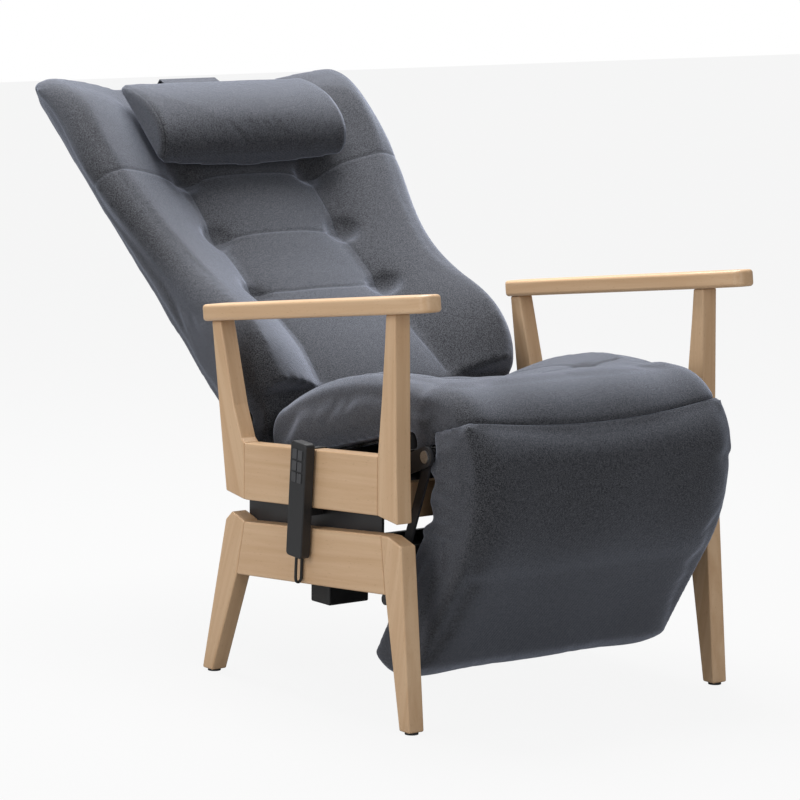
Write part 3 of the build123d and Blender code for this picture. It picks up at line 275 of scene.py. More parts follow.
@dataclass(frozen=True)
class Heather:
    """Heathered upholstery wool: two-tone threads in a plain weave, with painted shade along its
    seams and between its threads.
    """

    dark: Triple = (0.005, 0.005, 0.006)
    light: Triple = (0.078, 0.079, 0.086)
    scales: tuple[float, float] = (900.0, 520.0)
    yarn: float = 1.5 * MM
    # width of the painted shade along each seam
    seam_shade_width: float = 1.3 * MM
    relief: tuple[float, float] = (0.35, 0.6 * MM)

    def material(self, name: str, speckle: NodeTree, sewn: bool = True) -> Material:
        """Make the cloth's material.

        Args:
            name: The material's name.
            speckle: The mottling group.
            sewn: True for a piece with a Weave UV map and a seam_distance attribute.

        Returns:
            The material.
        """
        material, tree, shader = blank_material(name)
        colour, height = mottle(tree, speckle, (self.dark, self.light), self.scales)
        fill(
            tree,
            shader,
            Roughness=0.93,
            Specular_IOR_Level=0.22,
            Sheen_Weight=0.7,
            Sheen_Roughness=0.45,
            Sheen_Tint=(0.72, 0.78, 0.95, 1),
        )
        if sewn:
            weave = self.weave(tree)
            height = combine(tree, "ADD", weave, height)
            # painted shade of the weave's hollows and the seams' grooves, multiplied into the
            # colour
            colour = self.with_painted_shade(tree, colour, weave)
        fill(tree, shader, Base_Color=colour)
        emboss(tree, shader, height, *self.relief)
        return material

    def weave(self, tree: NodeTree) -> NodeSocket:
        """Add the nodes of a plain weave on the Weave UV map.

        Args:
            tree: The material's tree.

        Returns:
            The weave's height, from -1 to 1.
        """
        cloth = add_node(tree, "UVMap", {"uv_map": "Weave"})
        threads = add_node(tree, "SeparateXYZ", Vector=cloth.outputs["UV"])
        waves = []
        for axis in ("X", "Y"):
            turn = combine(tree, "MULTIPLY", threads.outputs[axis], math.pi / self.yarn)
            waves.append(combine(tree, "SINE", turn))
        return combine(tree, "MULTIPLY", *waves)

    def with_painted_shade(self, tree: NodeTree, colour: NodeSocket, weave: NodeSocket) -> NodeSocket:
        """Paint shade into a colour, darker between the threads and along the seams' grooves, and
        paint light onto the threads' crests.

        Args:
            tree: The material's tree.
            colour: The colour.
            weave: The weave's height.

        Returns:
            The colour with its painted shade and light.
        """
        distance = add_node(tree, "Attribute", {"attribute_name": "seam_distance"}).outputs["Fac"]
        # painted shade between the threads and painted light on their crests, 0.86 to 1.12
        between = remap(tree, weave, (-1.0, 1.0), (0.86, 1.12))
        # painted shade in the seams' grooves: the colour falls to 0.35 at a seam's middle
        along = remap(tree, distance, (self.seam_shade_width * 0.4, self.seam_shade_width), (0.35, 1.0))
        both = combine(tree, "MULTIPLY", between, along)
        shade_painted = add_node(tree, "VectorMath", {"operation": "SCALE"}, i0=colour, Scale=both)
        return shade_painted.outputs["Vector"]


@dataclass(frozen=True)
class Beech:
    """Clear-lacquered beech: pale, with fine dark flecks and soft broad bands along the grain."""

    pale: Triple = (0.620, 0.422, 0.255)
    warm: Triple = (0.535, 0.338, 0.188)
    fleck: Triple = (0.350, 0.200, 0.105)
    stretch: Triple = (1.0, 0.035, 1.0)
    fleck_stretch: Triple = (1.0, 0.16, 1.0)

    def material(self, run: Run, across: bool = False) -> Material:
        """Make beech whose grain follows one direction.

        Args:
            run: The grain's direction in the side view.
            across: True where the grain runs along X.

        Returns:
            The material.
        """
        material, tree, shader = blank_material("Beech " + run.name.lower().replace("_", " "))
        place = add_node(tree, "TexCoord").outputs["Object"]
        angles = (0, 0, math.radians(90)) if across else (math.radians(-run.value), 0, 0)
        turned = add_node(tree, "Mapping", Vector=place, Rotation=angles).outputs["Vector"]
        long = add_node(tree, "Mapping", Vector=turned, Scale=self.stretch).outputs["Vector"]
        short = add_node(tree, "Mapping", Vector=turned, Scale=self.fleck_stretch)
        bands = noise(tree, long, 55.0, Detail=3.0, Roughness=0.55, Distortion=0.6)
        fibres = noise(tree, long, 900.0, Detail=2.0, Roughness=0.6)
        cells = add_node(tree, "TexVoronoi", Vector=short.outputs["Vector"], Scale=420.0)
        banded = remap(tree, bands, (0.35, 0.68))
        base = mix_colours(tree, banded, (*self.pale, 1), (*self.warm, 1))
        core = remap(tree, cells.outputs["Distance"], (0.10, 0.26), (0.55, 0.0))
        flecks = combine(tree, "MULTIPLY", core, remap(tree, fibres, (0.46, 0.60)))
        fill(
            tree,
            shader,
            Base_Color=mix_colours(tree, flecks, base, (*self.fleck, 1)),
            Roughness=remap(tree, fibres, (0.3, 0.7), (0.36, 0.50)),
            Specular_IOR_Level=0.4,
            Coat_Weight=0.12,
            Coat_Roughness=0.3,
        )
        emboss(tree, shader, combine(tree, "SUBTRACT", fibres, flecks), 0.12, 0.4 * MM)
        return material


@dataclass(frozen=True)
class Coated:
    """A plain coated or moulded finish with fine grain and a soft wander in its gloss."""

    name: str
    colour: Triple
    metallic: float = 0.0
    roughness: float = 0.45
    grain: float = 1400.0
    bump: float = 0.12

    def material(self, speckle: NodeTree) -> Material:
        """Make the finish's material.

        Args:
            speckle: The mottling group.

        Returns:
            The material.
        """
        material, tree, shader = blank_material(self.name)
        low = tuple(c * 0.82 for c in self.colour)
        high = tuple(min(1.0, c * 1.2) for c in self.colour)
        colour, height = mottle(tree, speckle, (low, high), (self.grain, 38.0))
        gloss = (self.roughness * 0.85, self.roughness * 1.15)
        rough = remap(tree, height, (0.7, 1.3), gloss)
        fill(tree, shader, Base_Color=colour, Roughness=rough, Metallic=self.metallic)
        emboss(tree, shader, height, self.bump, 0.2 * MM)
        return material


BLACK_STEEL = Coated("Black coated steel", (0.018, 0.018, 0.020), 0.0, 0.42)
PLATED_STEEL = Coated("Plated steel", (0.55, 0.56, 0.58), 1.0, 0.30, 700.0, 0.05)
BLACK_PLASTIC = Coated("Black moulded plastic", (0.012, 0.012, 0.013), 0.0, 0.50)
BUTTON_PLASTIC = Coated("Grey button plastic", (0.045, 0.045, 0.048), 0.0, 0.55)
CORD_SHEATH = Coated("Black cord sheath", (0.010, 0.010, 0.010), 0.0, 0.55)
PLYWOOD = Coated("Plywood", (0.48, 0.33, 0.20), 0.0, 0.7, 500.0, 0.2)


def read_points(mesh: Mesh, what: str = "co") -> np.ndarray:
    """Read a vector of every vertex.

    Args:
        mesh: The mesh.
        what: The vertex property, co or normal.

    Returns:
        An array of one row per vertex.
    """
    values = np.zeros(len(mesh.vertices) * 3, np.float32)
    mesh.vertices.foreach_get(what, values)
    return values.reshape(-1, 3).astype(float)


def write_points(mesh: Mesh, points: np.ndarray) -> None:
    """Write every vertex's place and refresh the mesh.

    Args:
        mesh: The mesh.
        points: One place per vertex.
    """
    mesh.vertices.foreach_set("co", points.astype(np.float32).ravel())
    mesh.update()


def line_distance(places: np.ndarray, line: np.ndarray) -> np.ndarray:
    """Measure the distance of 2D places from a polyline.

    Args:
        places: One 2D place per row.
        line: The polyline's corners, one per row.

    Returns:
        The distances.
    """
    best = np.full(len(places), 1e9)
    for start, end in zip(line, line[1:]):
        run = end - start
        share = np.clip(((places - start) @ run) / max(run @ run, 1e-12), 0, 1)
        best = np.minimum(best, np.linalg.norm(places - start - share[:, None] * run, axis=1))
    return best


def rise(value: np.ndarray, start: float | np.ndarray, width: float) -> np.ndarray:
    """Rise smoothly from 0 to 1.

    Args:
        value: The values along which it rises.
        start: Where it leaves 0.
        width: How far on it reaches 1.

    Returns:
        The share of each value.
    """
    share = np.clip((value - start) / width, 0, 1)
    return share * share * (3 - 2 * share)


@dataclass
class Local:
    """A sub-assembly's turned drawing plane in metres: y runs rearwards and z upwards."""

    origin: tuple[float, float]
    lean: float

    def inward(self, points: np.ndarray) -> np.ndarray:
        """Take points of the frame to this plane's own x, y and z."""
        y, z = points[:, 1] - self.origin[0], points[:, 2] - self.origin[1]
        c, s = math.cos(math.radians(self.lean)), math.sin(math.radians(self.lean))
        return np.column_stack([points[:, 0], y * c - z * s, y * s + z * c])

    def outward(self, points: np.ndarray) -> np.ndarray:
        """Take points of this plane to the frame."""
        c, s = math.cos(math.radians(self.lean)), math.sin(math.radians(self.lean))
        y = points[:, 1] * c + points[:, 2] * s
        z = -points[:, 1] * s + points[:, 2] * c
        return np.column_stack([points[:, 0], y + self.origin[0], z + self.origin[1]])


SHIFT = 541.452 * MM
BACK_PLANE = Local((560.0 * MM - SHIFT, 432.0 * MM), 47.8)
SEAT_PLANE = Local((130.0 * MM - SHIFT, 385.0 * MM), 14.8)
LEG_PLANE = Local((35.0 * MM - SHIFT, 435.0 * MM), 0.0)


@dataclass
class Nose:
    """The rolled front of the seat, in angles about the hinge of the leg rest."""

    end_seam: float = 142.0
    seam_drop: float = 11.0
    half: float = 250.0 * MM
    round_start: float = 220.0 * MM
    round_width: float = 46.0 * MM
    round_depth: float = 15.0 * MM
    round_curve: float = 0.96
    core: float = 75.0 * MM
    lap: float = 9.0 * MM
    cheek_lap: float = 6.0 * MM
    cheek_start: float = 236.0 * MM
    cheek_front: tuple[float, float] = (-87.0 * MM, 66.0 * MM)
    cheek_slope: float = -0.30
    rear_end: float = 300.0

    def polar(self, points: np.ndarray) -> tuple[np.ndarray, np.ndarray]:
        """Give each point's distance from the hinge and its angle in degrees."""
        y, z = points[:, 1] - LEG_PLANE.origin[0], points[:, 2] - LEG_PLANE.origin[1]
        return np.hypot(y, z), np.degrees(np.arctan2(z, y)) % 360

    def placed(self, points: np.ndarray, radius: np.ndarray, angle: np.ndarray) -> np.ndarray:
        """Put points at a new distance and angle about the hinge.

        Args:
            points: The points, which keep their x.
            radius: The new distances.
            angle: The new angles in degrees.

        Returns:
            The moved points.
        """
        turn = np.radians(angle)
        y = LEG_PLANE.origin[0] + radius * np.cos(turn)
        z = LEG_PLANE.origin[1] + radius * np.sin(turn)
        return np.column_stack([points[:, 0], y, z])

    def seam(self, x: np.ndarray) -> np.ndarray:
        """Give the angle of the front seam at each place across the seat."""
        return self.end_seam + self.seam_drop * np.clip(1 - (x / self.half) ** 2, 0, 1)

    def below_cheek_edge(self, points: np.ndarray) -> np.ndarray:
        """Give each point's height below the edge of the cover's closed ends."""
        y, z = points[:, 1] - LEG_PLANE.origin[0], points[:, 2] - LEG_PLANE.origin[1]
        return self.cheek_front[1] + self.cheek_slope * (y - self.cheek_front[0]) - z

    def rounded(self, points: np.ndarray) -> np.ndarray:
        """Round the two ends of the nose."""
        radius, angle = self.polar(points)
        share = np.clip((np.abs(points[:, 0]) - self.round_start) / self.round_width, 0, 1)
        loss = self.round_depth * (1 - np.sqrt(1 - self.round_curve * share**2))
        outer = rise(radius, 80.0 * MM, 20.0 * MM)
        front = rise(angle, 60.0, 40.0) * (1 - rise(angle, 175.0, 30.0))
        return self.placed(points, radius - loss * (outer * front), angle)

    def drawn_in(self, points: np.ndarray) -> np.ndarray:
        """Sink what lies beyond the front seam and on the two cheeks under the cover."""
        radius, angle = self.polar(points)
        under = rise(angle, self.seam(points[:, 0]), 6.0) * (angle < self.rear_end)
        made = self.placed(points, radius - self.lap * under * (radius > self.core), angle)
        side = rise(self.below_cheek_edge(points), 0.0, 8.0 * MM)
        side *= (angle > 90.0) * (angle < self.rear_end) * (radius < 130.0 * MM)
        side *= rise(np.abs(points[:, 0]), self.cheek_start, 14.0 * MM)
        made[:, 0] -= np.sign(points[:, 0]) * self.cheek_lap * side
        return made


NOSE = Nose()


@dataclass
class PaddedPiece:
    """A foam-filled, fabric-covered piece made from the form of its CAD solid."""

    name: str
    nodes: tuple[str, ...]
    plane: Local
    voxel: float = 6.5 * MM
    doubles: float = 0.05 * MM
    shrink: float = 2.0 * MM
    pressure: float = 4.0
    frames: int = 20
    cap: float = 8.0 * MM
    fill: float = 0.7
    smoothing: int = 6
    give: float = 0.8 * MM
    calming: int = 3
    far: float = 50.0 * MM
    rim_depth: float = 1.2 * MM
    rim_width: float = 3.5 * MM
    end_facing: float = 0.72

    def source(self) -> BMesh:
        """Merge copies of the CAD nodes into one bmesh.

        Returns:
            The joined shells, with doubles merged.
        """
        shell = bmesh.new()
        for node in self.nodes:
            shell.from_mesh(bpy.data.objects[node].data)
        bmesh.ops.remove_doubles(shell, verts=shell.verts, dist=self.doubles)
        return shell

    def build(self, material: Material) -> Object:
        """Make the padded piece.

        Args:
            material: Its cloth.

        Returns:
            The finished object.
        """
        shell = self.source()
        mesh = bpy.data.meshes.new(self.name)
        shell.to_mesh(mesh)
        shell.free()
        piece = bpy.data.objects.new(self.name, mesh)
        bpy.context.collection.objects.link(piece)
        self.remesh(piece)
        self.shape(piece)
        self.swell(piece)
        self.refine(piece)
        self.sew(piece)
        self.lay_weave(piece)
        mesh = piece.data
        mesh.materials.clear()
        mesh.materials.append(material)
        for polygon in mesh.polygons:
            polygon.use_smooth = True
        LOG.info("%s: %d vertices", self.name, len(mesh.vertices))
        return piece

    def apply(self, piece: Object) -> None:
        """Bake the piece's modifiers into its mesh."""
        graph = bpy.context.evaluated_depsgraph_get()
        baked = bpy.data.meshes.new_from_object(piece.evaluated_get(graph))
        piece.modifiers.clear()
        old = piece.data
        piece.data = baked
        bpy.data.meshes.remove(old)

    def smooth(self, piece: Object, times: int) -> None:
        """Even out the skin.

        Args:
            piece: The piece.
            times: How many times each vertex moves towards its neighbours.
        """
        easing = piece.modifiers.new("Ease", "SMOOTH")
        easing.factor = 0.5
        easing.iterations = times
        self.apply(piece)

    def remesh(self, piece: Object) -> None:
        """Turn the joined shells into one even skin and ease its corners."""
        voxels = piece.modifiers.new("Skin", "REMESH")
        voxels.mode = "VOXEL"
        voxels.voxel_size = self.voxel
        self.apply(piece)
        self.keep_outer(piece)
        self.smooth(piece, self.smoothing)

    def keep_outer(self, piece: Object) -> None:
        """Drop every loose shell but the largest, such as the skin of an inner hollow."""
        shell = bmesh.new()
        shell.from_mesh(piece.data)
        left, islands = set(shell.verts), []
        while left:
            start = left.pop()
            island, stack = [start], [start]
            while stack:
                for edge in stack.pop().link_edges:
                    for vertex in edge.verts:
                        if vertex in left:
                            left.discard(vertex)
                            island.append(vertex)
                            stack.append(vertex)
            islands.append(island)
        islands.sort(key=len)
        for island in islands[:-1]:
            bmesh.ops.delete(shell, geom=island, context="VERTS")
        shell.to_mesh(piece.data)
        shell.free()

    def shape(self, piece: Object) -> None:
        """Adjust the plain skin before it swells; a piece may do more."""

    def held(self, local: np.ndarray, normals: np.ndarray) -> np.ndarray:
        """Say how firmly each vertex is held by what backs it, from 0 to 1."""
        return np.zeros(len(local))

    def inflate(self, piece: Object) -> np.ndarray:
        """Fill the skin with air pressure as cloth for a number of frames.

        Args:
            piece: The piece, with its held vertices in the group Held.

        Returns:
            Where each vertex ends.
        """
        cloth = piece.modifiers.new("Swell", "CLOTH")
        settings = cloth.settings
        settings.quality = 5
        settings.mass = 0.4
        settings.tension_stiffness = settings.compression_stiffness = 12
        settings.shear_stiffness = 6
        settings.bending_stiffness = 0.6
        settings.use_pressure = True
        settings.uniform_pressure_force = self.pressure
        settings.vertex_group_mass = "Held"
        settings.effector_weights.gravity = 0
        cloth.collision_settings.use_collision = False
        scene = bpy.context.scene
        cloth.point_cache.frame_start, cloth.point_cache.frame_end = 1, self.frames
        for frame in range(1, self.frames + 1):
            scene.frame_set(frame)
        graph = bpy.context.evaluated_depsgraph_get()
        moved = read_points(piece.evaluated_get(graph).data)
        piece.modifiers.clear()
        scene.frame_set(1)
        return moved

    def swell(self, piece: Object) -> None:
        """Inflate the skin, cap how far each point moves and calm the folds."""
        mesh = piece.data
        rest, normals = read_points(mesh), read_points(mesh, "normal")
        hold = self.held(self.plane.inward(rest), normals)
        group = piece.vertex_groups.new(name="Held")
        for index in np.flatnonzero(hold > 0.5):
            group.add([int(index)], 1.0, "REPLACE")
        write_points(mesh, rest - normals * self.shrink)
        step = self.inflate(piece) - rest
        length = np.maximum(np.linalg.norm(step, axis=1), 1e-9)
        step *= np.minimum(1.0, self.cap / length)[:, None]
        inward = np.minimum(0.0, np.sum(step * normals, axis=1) + self.give)
        step -= normals * inward[:, None]
        write_points(mesh, rest + step * (1 - hold)[:, None])
        piece.vertex_groups.clear()
        self.smooth(piece, self.calming)

    def refine(self, piece: Object) -> None:
        """Add one subdivision and bake it."""
        finer = piece.modifiers.new("Fine", "SUBSURF")
        finer.levels = finer.render_levels = 1
        self.apply(piece)

    def seams(self) -> list[tuple[np.ndarray, float, float]]:
        """List the seams as lines in the piece's own x and z, with depth and width."""
        return []

    def tufts(self) -> list[tuple[float, float, float, float]]:
        """List the sewn tufts as x, z, depth and width in the piece's own plane."""
        return []

    def rims(self) -> list[float]:
        """List the distances from the middle plane at which a seam runs round the piece."""
        return []

    def faces_out(self, local: np.ndarray, normals: np.ndarray) -> np.ndarray:
        """Weigh how much each vertex takes part in the seams, from 0 to 1."""
        return np.ones(len(local))

    def unrolled(self, local: np.ndarray) -> np.ndarray:
        """Give each vertex's place along X and along the cloth."""
        return local[:, [0, 2]]

    def sew(self, piece: Object) -> None:
        """Press the seams and tufts into the skin and store the distance to the nearest seam."""
        mesh = piece.data
        points, normals = read_points(mesh), read_points(mesh, "normal")
        local = self.plane.inward(points)
        places = self.unrolled(local)
        share = self.faces_out(local, normals)
        nearest = np.full(len(points), self.far)
        sink = np.zeros(len(points))
        for line, depth, width in self.seams():
            away = line_distance(places, line)
            nearest = np.where(share > 0.2, np.minimum(nearest, away), nearest)
            stitch = np.exp(-((away / width) ** 2))
            valley = 0.9 * np.exp(-((away / (width * 6)) ** 2))
            sink = np.maximum(sink, depth * (stitch + valley))
        for x, z, depth, width in self.tufts():
            away = np.hypot(places[:, 0] - x, places[:, 1] - z)
            sink += depth * np.exp(-((away / width) ** 1.5))
        for rim in self.rims():
            away = np.abs(np.abs(local[:, 0]) - rim)
            nearest = np.minimum(nearest, away)
            sink += self.rim_depth * np.exp(-((away / self.rim_width) ** 2))
        write_points(mesh, points - normals * (sink * share)[:, None])
        attribute = mesh.attributes.new("seam_distance", "FLOAT", "POINT")
        attribute.data.foreach_set("value", nearest.astype(np.float32))

    def lay_weave(self, piece: Object) -> None:
        """Lay a UV map in metres whose threads run across and along the cloth."""
        mesh = piece.data
        local = self.plane.inward(read_points(mesh))
        flat = self.unrolled(local)
        side = local[:, [1, 2]]
        loops = np.zeros(len(mesh.loops), np.int32)
        mesh.loops.foreach_get("vertex_index", loops)
        normals = np.zeros(len(mesh.polygons) * 3, np.float32)
        mesh.polygons.foreach_get("normal", normals)
        totals = np.zeros(len(mesh.polygons), np.int32)
        mesh.polygons.foreach_get("loop_total", totals)
        end = np.repeat(np.abs(normals.reshape(-1, 3)[:, 0]) > self.end_facing, totals)
        values = np.where(end[:, None], side[loops], flat[loops])
        layer = mesh.uv_layers.new(name="Weave")
        layer.data.foreach_set("uv", values.astype(np.float32).ravel())


@dataclass
class BackUpholstery(PaddedPiece):
    """The winged back: bolsters, channels and tufts in front and a flat cover behind."""

    name: str = "back_upholstery"
    nodes: tuple[str, ...] = ("back_cushion", "back_cover")
    plane: Local = field(default_factory=lambda: BACK_PLANE)
    cap: float = 4.0 * MM
    smoothing: int = 4
    column: float = 133.0 * MM
    rows: Triple = (526.0 * MM, 388.0 * MM, 248.0 * MM)
    tuft_depths: Triple = (7.0 * MM, 8.0 * MM, 4.0 * MM)
    pocket_half: tuple[float, float] = (250.0 * MM, 286.0 * MM)
    pocket_depth: tuple[float, float] = (18.0 * MM, 44.0 * MM)
    pocket_height: tuple[float, float] = (-30.0 * MM, 774.0 * MM)
    rear: float = 26.0 * MM
    front: float = 12.0 * MM

    def source(self) -> BMesh:
        """Join the cushion and the cover, with the board's pocket between them filled.

        Returns:
            The joined shells.
        """
        shell = super().source()
        filler = bmesh.ops.create_cube(shell, size=1.0)["verts"]
        for vertex in filler:
            top, behind = vertex.co.z > 0, vertex.co.y > 0
            x = math.copysign(self.pocket_half[top], vertex.co.x)
            corner = [[x, self.pocket_depth[behind], self.pocket_height[top]]]
            vertex.co = Vector(self.plane.outward(np.array(corner))[0])
        return shell

    def held(self, local: np.ndarray, normals: np.ndarray) -> np.ndarray:
        """Hold the flat rear and what lies near it."""
        return np.clip((local[:, 1] - self.rear) / 0.01, 0, 1)

    def seams(self) -> list[tuple[np.ndarray, float, float]]:
        """Lay the cross seams and the two upright ones."""
        top, middle, low = self.rows
        c = self.column
        lines = [
            [(-0.325, top), (-0.27, top + 0.004), (-0.20, top + 0.003), (-c, top - 0.002)],
            [(-c, top - 0.002), (-0.07, top + 0.004), (0.07, top + 0.004), (c, top - 0.004)],
            [(c, top - 0.004), (0.20, top + 0.008), (0.27, top + 0.010), (0.325, top + 0.006)],
            [(-c, middle), (-0.06, middle + 0.003), (0.06, middle + 0.003), (c, middle)],
            [(-c, low), (-0.06, low - 0.010), (0.06, low - 0.010), (c, low)],
        ]
        upright = [(c, top - 0.003), (c, middle), (c, low)]
        upright += [(c - 0.010, 0.16), (c - 0.012, 0.10), (c, 0.01)]
        for sign in (-1, 1):
            lines.append([(sign * x, z) for x, z in upright])
        return [(np.array(line), 1.3 * MM, 3.6 * MM) for line in lines]

    def tufts(self) -> list[tuple[float, float, float, float]]:
        """Sew a tuft where the upright seams meet the cross seams."""
        rows = list(zip(self.rows, self.tuft_depths))
        return [(s * self.column, z, depth, 38.0 * MM) for z, depth in rows for s in (-1, 1)]

    def faces_out(self, local: np.ndarray, normals: np.ndarray) -> np.ndarray:
        """Keep the seams to the front."""
        return np.clip((self.front - local[:, 1]) / 0.02, 0, 1)


@dataclass
class SeatCushion(PaddedPiece):
    """The dished seat with its rolled nose."""

    name: str = "seat_upholstery"
    nodes: tuple[str, ...] = ("seat_cushion",)
    plane: Local = field(default_factory=lambda: SEAT_PLANE)
    cap: float = 5.0 * MM
    column: float = 131.0 * MM
    tuft_row: float = -20.0 * MM
    underside: float = 78.0 * MM
    top: float = 75.0 * MM
    roll: tuple[float, float] = (-104.6 * MM, 24.1 * MM)
    roll_radius: float = 109.0 * MM

    def shape(self, piece: Object) -> None:
        """Draw the nose in where the cover of the leg rest lies over it."""
        points = read_points(piece.data)
        write_points(piece.data, NOSE.drawn_in(NOSE.rounded(points)))

    def held(self, local: np.ndarray, normals: np.ndarray) -> np.ndarray:
        """Hold the flat underside on the springs."""
        return ((local[:, 2] < self.underside) & (normals[:, 2] < -0.5)).astype(float)

    def unrolled(self, local: np.ndarray) -> np.ndarray:
        """Unroll the top along Y and the nose along its arc."""
        y, z = self.roll
        around = np.arctan2(local[:, 2] - z, local[:, 1] - y)
        arc = (around - math.pi / 2) * self.roll_radius
        return np.column_stack([local[:, 0], np.where(local[:, 1] < y, y - arc, local[:, 1])])

    def seams(self) -> list[tuple[np.ndarray, float, float]]:
        """Lay the short seams that run from the tufts."""
        c, z = self.column, self.tuft_row
        lines = [[(sign * c, -0.03), (sign * c, 0.30)] for sign in (-1, 1)]
        lines.append([(-0.20, -0.028), (-c, z), (0.0, -0.012), (c, z), (0.20, -0.028)])
        return [(np.array(line), 2.6 * MM, 4.0 * MM) for line in lines]

    def tufts(self) -> list[tuple[float, float, float, float]]:
        """Sew two tufts near the front of the seat."""
        return [(sign * self.column, self.tuft_row, 8.0 * MM, 24.0 * MM) for sign in (-1, 1)]

    def faces_out(self, local: np.ndarray, normals: np.ndarray) -> np.ndarray:
        """Keep the seams to the top."""
        return np.clip((local[:, 2] - self.top) / 0.02, 0, 1)


@dataclass
class LegRestPad(PaddedPiece):
    """The leg rest, whose cover runs up over the nose to the front seam."""

    name: str = "leg_rest_upholstery"
    nodes: tuple[str, ...] = ("leg_rest_pad",)
    plane: Local = field(default_factory=lambda: LEG_PLANE)
    cap: float = 4.0 * MM
    end_angle: float = 275.0
    reach: float = 108.5 * MM
    growth: float = 18.0 * MM
    growth_end: float = 194.0
    cheek_reach: float = 113.0 * MM
    cheek_middle: float = 257.0 * MM
    cheek_thick: float = 15.0 * MM
    gather_depth: float = 2.6 * MM
    gather_pitch: float = 34.0 * MM
    crease_depth: float = 7.0 * MM
    crease_pitch: float = 52.0 * MM
    cloth_radius: float = 112.0 * MM

    def cut(self, shell: BMesh, place: tuple[float, float], slope: float) -> None:
        """Cut a closed shell by a plane along X, keep its lower side and close it.

        Args:
            shell: The closed shell to cut.
            place: A point of the plane as Y and Z from the hinge.
            slope: The plane's direction in degrees from +Y towards +Z; its left side goes.
        """
        turn = math.radians(slope)
        y, z = self.plane.origin
        cut = bmesh.ops.bisect_plane(
            shell,
            geom=shell.verts[:] + shell.edges[:] + shell.faces[:],
            plane_co=(0, y + place[0], z + place[1]),
            plane_no=(0, -math.sin(turn), math.cos(turn)),
            clear_outer=True,
        )
        edges = [item for item in cut["geom_cut"] if isinstance(item, BMEdge)]
        bmesh.ops.holes_fill(shell, edges=edges)

    def nose(self) -> BMesh:
        """Copy the part of the seat's nose that lies under the cover."""
        nose = bmesh.new()
        nose.from_mesh(bpy.data.objects["seat_cushion"].data)
        bmesh.ops.remove_doubles(nose, verts=nose.verts, dist=self.doubles)
        self.cut(nose, (0, 0), NOSE.end_seam + 180.0)
        self.cut(nose, (0, 0), self.end_angle)
        return nose

    def cheek(self, side: int) -> BMesh:
        """Make one closed end of the cover.

        Args:
            side: -1 for the right-hand end and 1 for the left-hand one.

        Returns:
            The end as a closed shell.
        """
        cheek = bmesh.new()
        middle = Matrix.Translation((side * self.cheek_middle, *self.plane.origin))
        bmesh.ops.create_cone(
            cheek,
            cap_ends=True,
            segments=72,
            radius1=self.cheek_reach,
            radius2=self.cheek_reach,
            depth=self.cheek_thick,
            matrix=middle @ Matrix.Rotation(math.pi / 2, 4, "Y"),
        )
        self.cut(cheek, NOSE.cheek_front, math.degrees(math.atan(NOSE.cheek_slope)))
        self.cut(cheek, (0, 0), self.end_angle)
        return cheek

    def source(self) -> BMesh:
        """Join the pad, the nose under the same cover and the cover's closed ends.

        Returns:
            The joined shells.
        """
        shell = super().source()
        for part in (self.nose(), self.cheek(-1), self.cheek(1)):
            extra = bpy.data.meshes.new("part")
            part.to_mesh(extra)
            part.free()
            shell.from_mesh(extra)
            bpy.data.meshes.remove(extra)
        return shell

    def shape(self, piece: Object) -> None:
        """Grow the cover's upper part to meet the pad, drop the seam's middle, gather the ends."""
        points = read_points(piece.data)
        radius, angle = NOSE.polar(points)
        top = NOSE.end_seam
        outer = (radius > 95.0 * MM) & (angle > top - 6) & (angle < self.growth_end)
        less = 1 - 0.45 * rise(np.abs(points[:, 0]), 225.0 * MM, 35.0 * MM)
        target = self.reach + self.growth * rise(angle, top, 46.0) * less
        radius = np.where(outer, np.maximum(radius, target), radius)
        share = np.clip((angle - top) / 48.0, 0, 1)
        drop = (NOSE.seam(points[:, 0]) - top) * (1 - share)
        angle = np.where(angle < 190.0, angle + drop, angle)
        points = NOSE.rounded(NOSE.placed(points, radius, angle))
        write_points(piece.data, self.gathered(points))

    def gathered(self, points: np.ndarray) -> np.ndarray:
        """Gather the cloth along the two ends of the cover.

        Args:
            points: The skin's points.

        Returns:
            The gathered points.
        """
        y, z = points[:, 1] - self.plane.origin[0], points[:, 2]
        edge = rise(np.abs(points[:, 0]), 238.0 * MM, 20.0 * MM) * rise(y, -75.0 * MM, 60.0 * MM)
        edge = edge * (z > 0.30) * (y < 90.0 * MM)
        wave = np.sin(z * 2 * math.pi / self.gather_pitch + 0.8 * np.sin(z * 61.0))
        crease = np.sin(z * 2 * math.pi / self.crease_pitch + 1.1)
        points[:, 0] += np.sign(points[:, 0]) * self.gather_depth * wave * edge
        points[:, 1] += self.crease_depth * crease * edge * rise(y, -30.0 * MM, 30.0 * MM)
        return points

    def seams(self) -> list[tuple[np.ndarray, float, float]]:
        """Lay the front seam close under the cover's upper edge."""
        across = np.linspace(-0.262, 0.262, 21)
        along = np.radians(180.0 - NOSE.seam(across)) * self.cloth_radius - 3.5 * MM
        return [(np.column_stack([across, along]), 0.5 * MM, 2.5 * MM)]

    def unrolled(self, local: np.ndarray) -> np.ndarray:
        """Run the cloth down the front and round the toe."""
        arc = np.arctan2(local[:, 2], -local[:, 1]) * self.cloth_radius
        return np.column_stack([local[:, 0], np.where(local[:, 2] > 0, arc, local[:, 2])])


@dataclass
class HeadPillow(PaddedPiece):
    """The loose pillow at the top of the back, with piped ends."""

    name: str = "head_pillow_cover"
    nodes: tuple[str, ...] = ("head_pillow",)
    plane: Local = field(default_factory=lambda: BACK_PLANE)
    voxel: float = 4.5 * MM
    cap: float = 4.0 * MM
    smoothing: int = 3
    calming: int = 5

    def rims(self) -> list[float]:
        """Run a seam round each end."""
        return [193.5 * MM]


def paint(node: str, material: Material) -> None:
    """Put one material in every slot of a CAD node.

    Args:
        node: The node's name.
        material: The material.
    """
    target = bpy.data.objects[node]
    if not target.material_slots:
        target.data.materials.append(material)
    for slot in target.material_slots:
        slot.material = material


